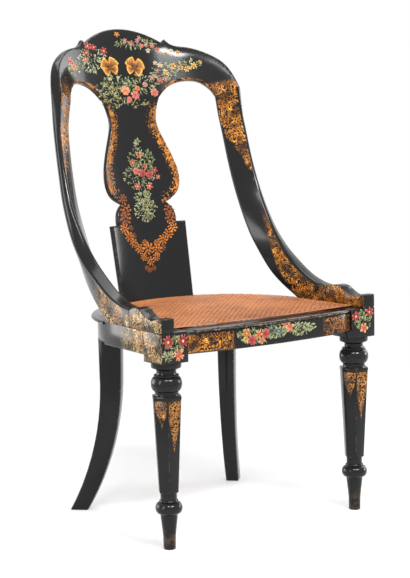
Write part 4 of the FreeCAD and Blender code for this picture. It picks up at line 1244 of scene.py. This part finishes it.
splatGilding = {
    "edge": (0.0004, 0.0018), "band": (0.031, 0.010), "ragged": 0.016,
    "foot": (0.565, 0.600), "seam": (0.7625, 0.735),
    "brown": 0.55, "bright": 0.50, "brightSide": (0.025, 0.055), "brightBelow": (0.72, 0.67),
}


def splatGilt(paint):
    look = splatGilding
    x, y, z = paint.axes()
    rim = paint.mark("rim")
    wide = rim + paint.noise(paint.place(), 40.0) * look["ragged"]
    band = wide.ramp(*look["band"]) * rim.ramp(*look["edge"])
    return band * z.ramp(*look["foot"]) * z.ramp(*look["seam"]) * frontOnly(paint)


def splatDim(paint):
    # the border stays bright on one side of the vase's belly
    look = splatGilding
    x, y, z = paint.axes()
    return look["brown"] - x.ramp(*look["brightSide"]) * z.ramp(*look["brightBelow"]) * look["bright"]


crestGilding = {
    "line": (0.0065, 0.0015), "below": (0.812, 0.800), "fromSplat": (0.064, 0.090), "toStile": (0.168, 0.158),
    "end": (0.752, 0.738), "endSlope": -0.25, "endFrom": (0.150, 0.160), "edge": (0.0005, 0.002),
}


def crestGilt(paint):
    # a thin line over each opening, and the ends where the stiles' gilding begins
    look = crestGilding
    x, y, z = paint.axes()
    side, rim = x.abs(), paint.mark("rim")
    line = rim.ramp(*look["line"]) * z.ramp(*look["below"]) * side.ramp(*look["fromSplat"])
    end = (z + side * look["endSlope"]).ramp(*look["end"]) * side.ramp(*look["endFrom"])
    end = end * rim.ramp(*look["edge"])
    return (line * side.ramp(*look["toStile"])).most(end) * frontOnly(paint)


stileGilding = {
    "edges": ((0.002, 0.005), (0.047, 0.044)), "ragged": 0.045,
    "upperDrawn": (0.715, 0.605), "upperAcross": 0.043, "upperFrom": (0.590, 0.640),
    "lowerDrawn": (0.030, 0.250), "lowerAcross": 0.034, "lowerTo": (0.270, 0.190),
    "outside": (0.0765, 0.0795), "outsideTo": (0.150, 0.085), "tan": (0.068, 0.070),
}


def stileGilt(paint):
    # full width at the top, drawn in to a point against the outer edge, then again at the foot
    look = stileGilding
    run, lap, none = paint.apart(paint.unwrapped())
    x, y, z = paint.axes()
    inner = lap.ramp(*look["edges"][0]) * lap.ramp(*look["edges"][1])
    ragged = (paint.noise(paint.place(), 75.0, 3.0) - 0.5) * look["ragged"]
    upper = (lap - z.ramp(*look["upperDrawn"]) * look["upperAcross"] + ragged).ramp(0.0, 0.007)
    upper = upper * (z + ragged).ramp(*look["upperFrom"])
    lower = (lap - run.ramp(*look["lowerDrawn"]) * look["lowerAcross"]).ramp(0.0, 0.006)
    outer = lap.ramp(*look["outside"]) * run.ramp(*look["outsideTo"])
    return (inner * upper.most(lower * run.ramp(*look["lowerTo"]))).most(outer)


def stileTan(paint):
    run, lap, none = paint.apart(paint.unwrapped())
    return lap.ramp(*stileGilding["tan"])


def stileDim(paint):
    return paint.noise(paint.place(), 26.0).ramp(0.42, 0.62) * 0.55


railGilding = {
    "leftEnd": (0.088, 0.096), "rightEnd": (0.108, 0.126), "low": (0.3400, 0.3425), "high": (0.3722, 0.3705),
    "brownFrom": (0.0, 0.1), "side": (-0.085, -0.145), "outside": (0.6, 0.8),
}


def frontRailGilt(paint):
    look = railGilding
    x, y, z = paint.axes()
    ends = (x * -1.0).ramp(*look["leftEnd"]).most(x.ramp(*look["rightEnd"]))
    return ends * z.ramp(*look["low"]) * z.ramp(*look["high"]) * frontOnly(paint)


def frontRailDim(paint):
    return paint.axes()[0].ramp(*railGilding["brownFrom"]) * 0.5


def footGilt(paint):
    return paint.facing()[0].abs().ramp(*railGilding["outside"])


def sideGilt(paint):
    return footGilt(paint) * paint.axes()[1].ramp(*railGilding["side"])


def outsideTan(paint):
    return (paint.facing()[0] * paint.axes()[0]).ramp(-0.05, 0.05)


legGilding = {
    "block": ((0.3285, 0.3300), (0.379, 0.378)), "top": (0.2625, 0.2605),
    # where the two points end and are at their widest, and that half width
    "front": (0.163, 0.236), "frontHalf": 0.0125, "cheek": (0.208, 0.252), "cheekHalf": 0.0120,
    "fade": (0.0, -0.0012), "brown": (0.30, 0.28), "tan": (0.29, 0.31), "worn": (0.050, 0.012),
}


def legGilt(paint):
    # all over the block's outer face, and drawn to a point down the shaft's front and outer faces
    look = legGilding
    x, y, z = paint.axes()
    facing = paint.facing()
    low, high = look["block"]
    outward = (facing[0] * x).ramp(0.10, 0.15) * z.ramp(*low) * z.ramp(*high)
    side = x.abs() - legLook["axis"]
    depth = y + backLook["shift"]
    front = (side.abs() - z.ramp(*look["front"]) * look["frontHalf"]).ramp(*look["fade"])
    shaft = front * facing[1].ramp(-0.93, -0.97)
    cheek = facing[1].ramp(-0.35, -0.42) * facing[1].ramp(-0.62, -0.58)
    for way in (-1, 1):
        across = (side * 0.5 + depth * (math.cos(math.radians(30)) * way)).abs()
        turned = (facing[0] * x * way).ramp(0.05, 0.10)
        point = (across - z.ramp(*look["cheek"]) * look["cheekHalf"]).ramp(*look["fade"])
        shaft = shaft.most(point * cheek * turned)
    return outward.most(shaft * z.ramp(*look["top"]))


def legDim(paint):
    return paint.axes()[2].ramp(*legGilding["brown"]) * 0.35


def blockTan(paint):
    return paint.axes()[2].ramp(*legGilding["tan"]) * 0.75 + 0.25


# Where the lacquer is worn through, and a painted highlight along the seat board's front edge

def pegWear(paint):
    spots = paint.noise(paint.place(), 90.0, 3.0).ramp(0.40, 0.62)
    return paint.axes()[2].ramp(*legGilding["worn"]) * spots * 0.8


def boardWearAndHighlight(paint):
    # a broken, paler line along the front of the seat board's top arris: wear, and a painted highlight
    x, y, z = paint.axes()
    ends = paint.noise(paint.place(), 120.0).ramp(0.34, 0.52)
    return paint.mark("arris") * y.ramp(-0.16, -0.19) * z.ramp(0.3770, 0.3785) * ends


# The chair

camera()
floor()
lights()
print("stage set")

black = lacquer()


crestFinish = gilded("crestFinish", crestGilt)
crest = bentBoard("crestRail", "crest_rail", crestOutline(), backLook["crestLean"], crestDepth,
                  backLook["crestRound"], crestFinish, crestJoint, backLook["pillow"])
splatFinish = gilded("splatFinish", splatGilt, dim=splatDim, stipple=True)
splat = bentBoard("vaseSplat", "splat", splatOutline(), backLook["splatLean"], lambda x: splatLook["thick"],
                  backLook["splatRound"], splatFinish, splatJoint)
print("crest and splat bent")

stileFinish = gilded("stileFinish", stileGilt, Paint.unwrapped, stileTan, stileDim)
stiles = [stile(side, stileFinish) for side in (-1, 1)]
print("stiles swept")

legFinish = gilded("legFinish", legGilt, tan=blockTan, dim=legDim, worn=pegWear, scale=130.0)
legs = [frontLeg(side, legFinish) for side in (-1, 1)]
print("legs turned")

carriers = [crest, splat] + stiles + legs
carriers.append(roundedNode("front_rail", gilded("frontRailFinish", frontRailGilt, dim=frontRailDim)))
sideFinish = gilded("sideFinish", sideGilt, tan=lambda paint: 1.0, scale=150.0)
footFinish = gilded("footFinish", footGilt, tan=outsideTan, scale=135.0)
for side in sideNames.values():
    roundedNode("side_rail", sideFinish, side=side)
    roundedNode("scroll_foot", footFinish, side=side)
    roundedNode("rear_leg", black, side=side)
# the seat board's front arris carries a painted highlight along with its wear
roundedNode("seat_frame", lacquer("boardLacquer", boardWearAndHighlight, "rubbedSheen"))
roundedNode("back_rail", black)
print("seat rails rounded")

cane = caneFinish()
caneSheet(cane)
roundedNode("cane_binding", cane, slot="cane")
print("seat caned")

paintSprays(carriers)
print("flowers painted")

beech = bareWood()
for node in nodes:
    if node.startswith("corner_block"):
        nodes[node].data.materials.clear()
        nodes[node].data.materials.append(beech)

bpy.context.scene.view_settings.view_transform = "Standard"
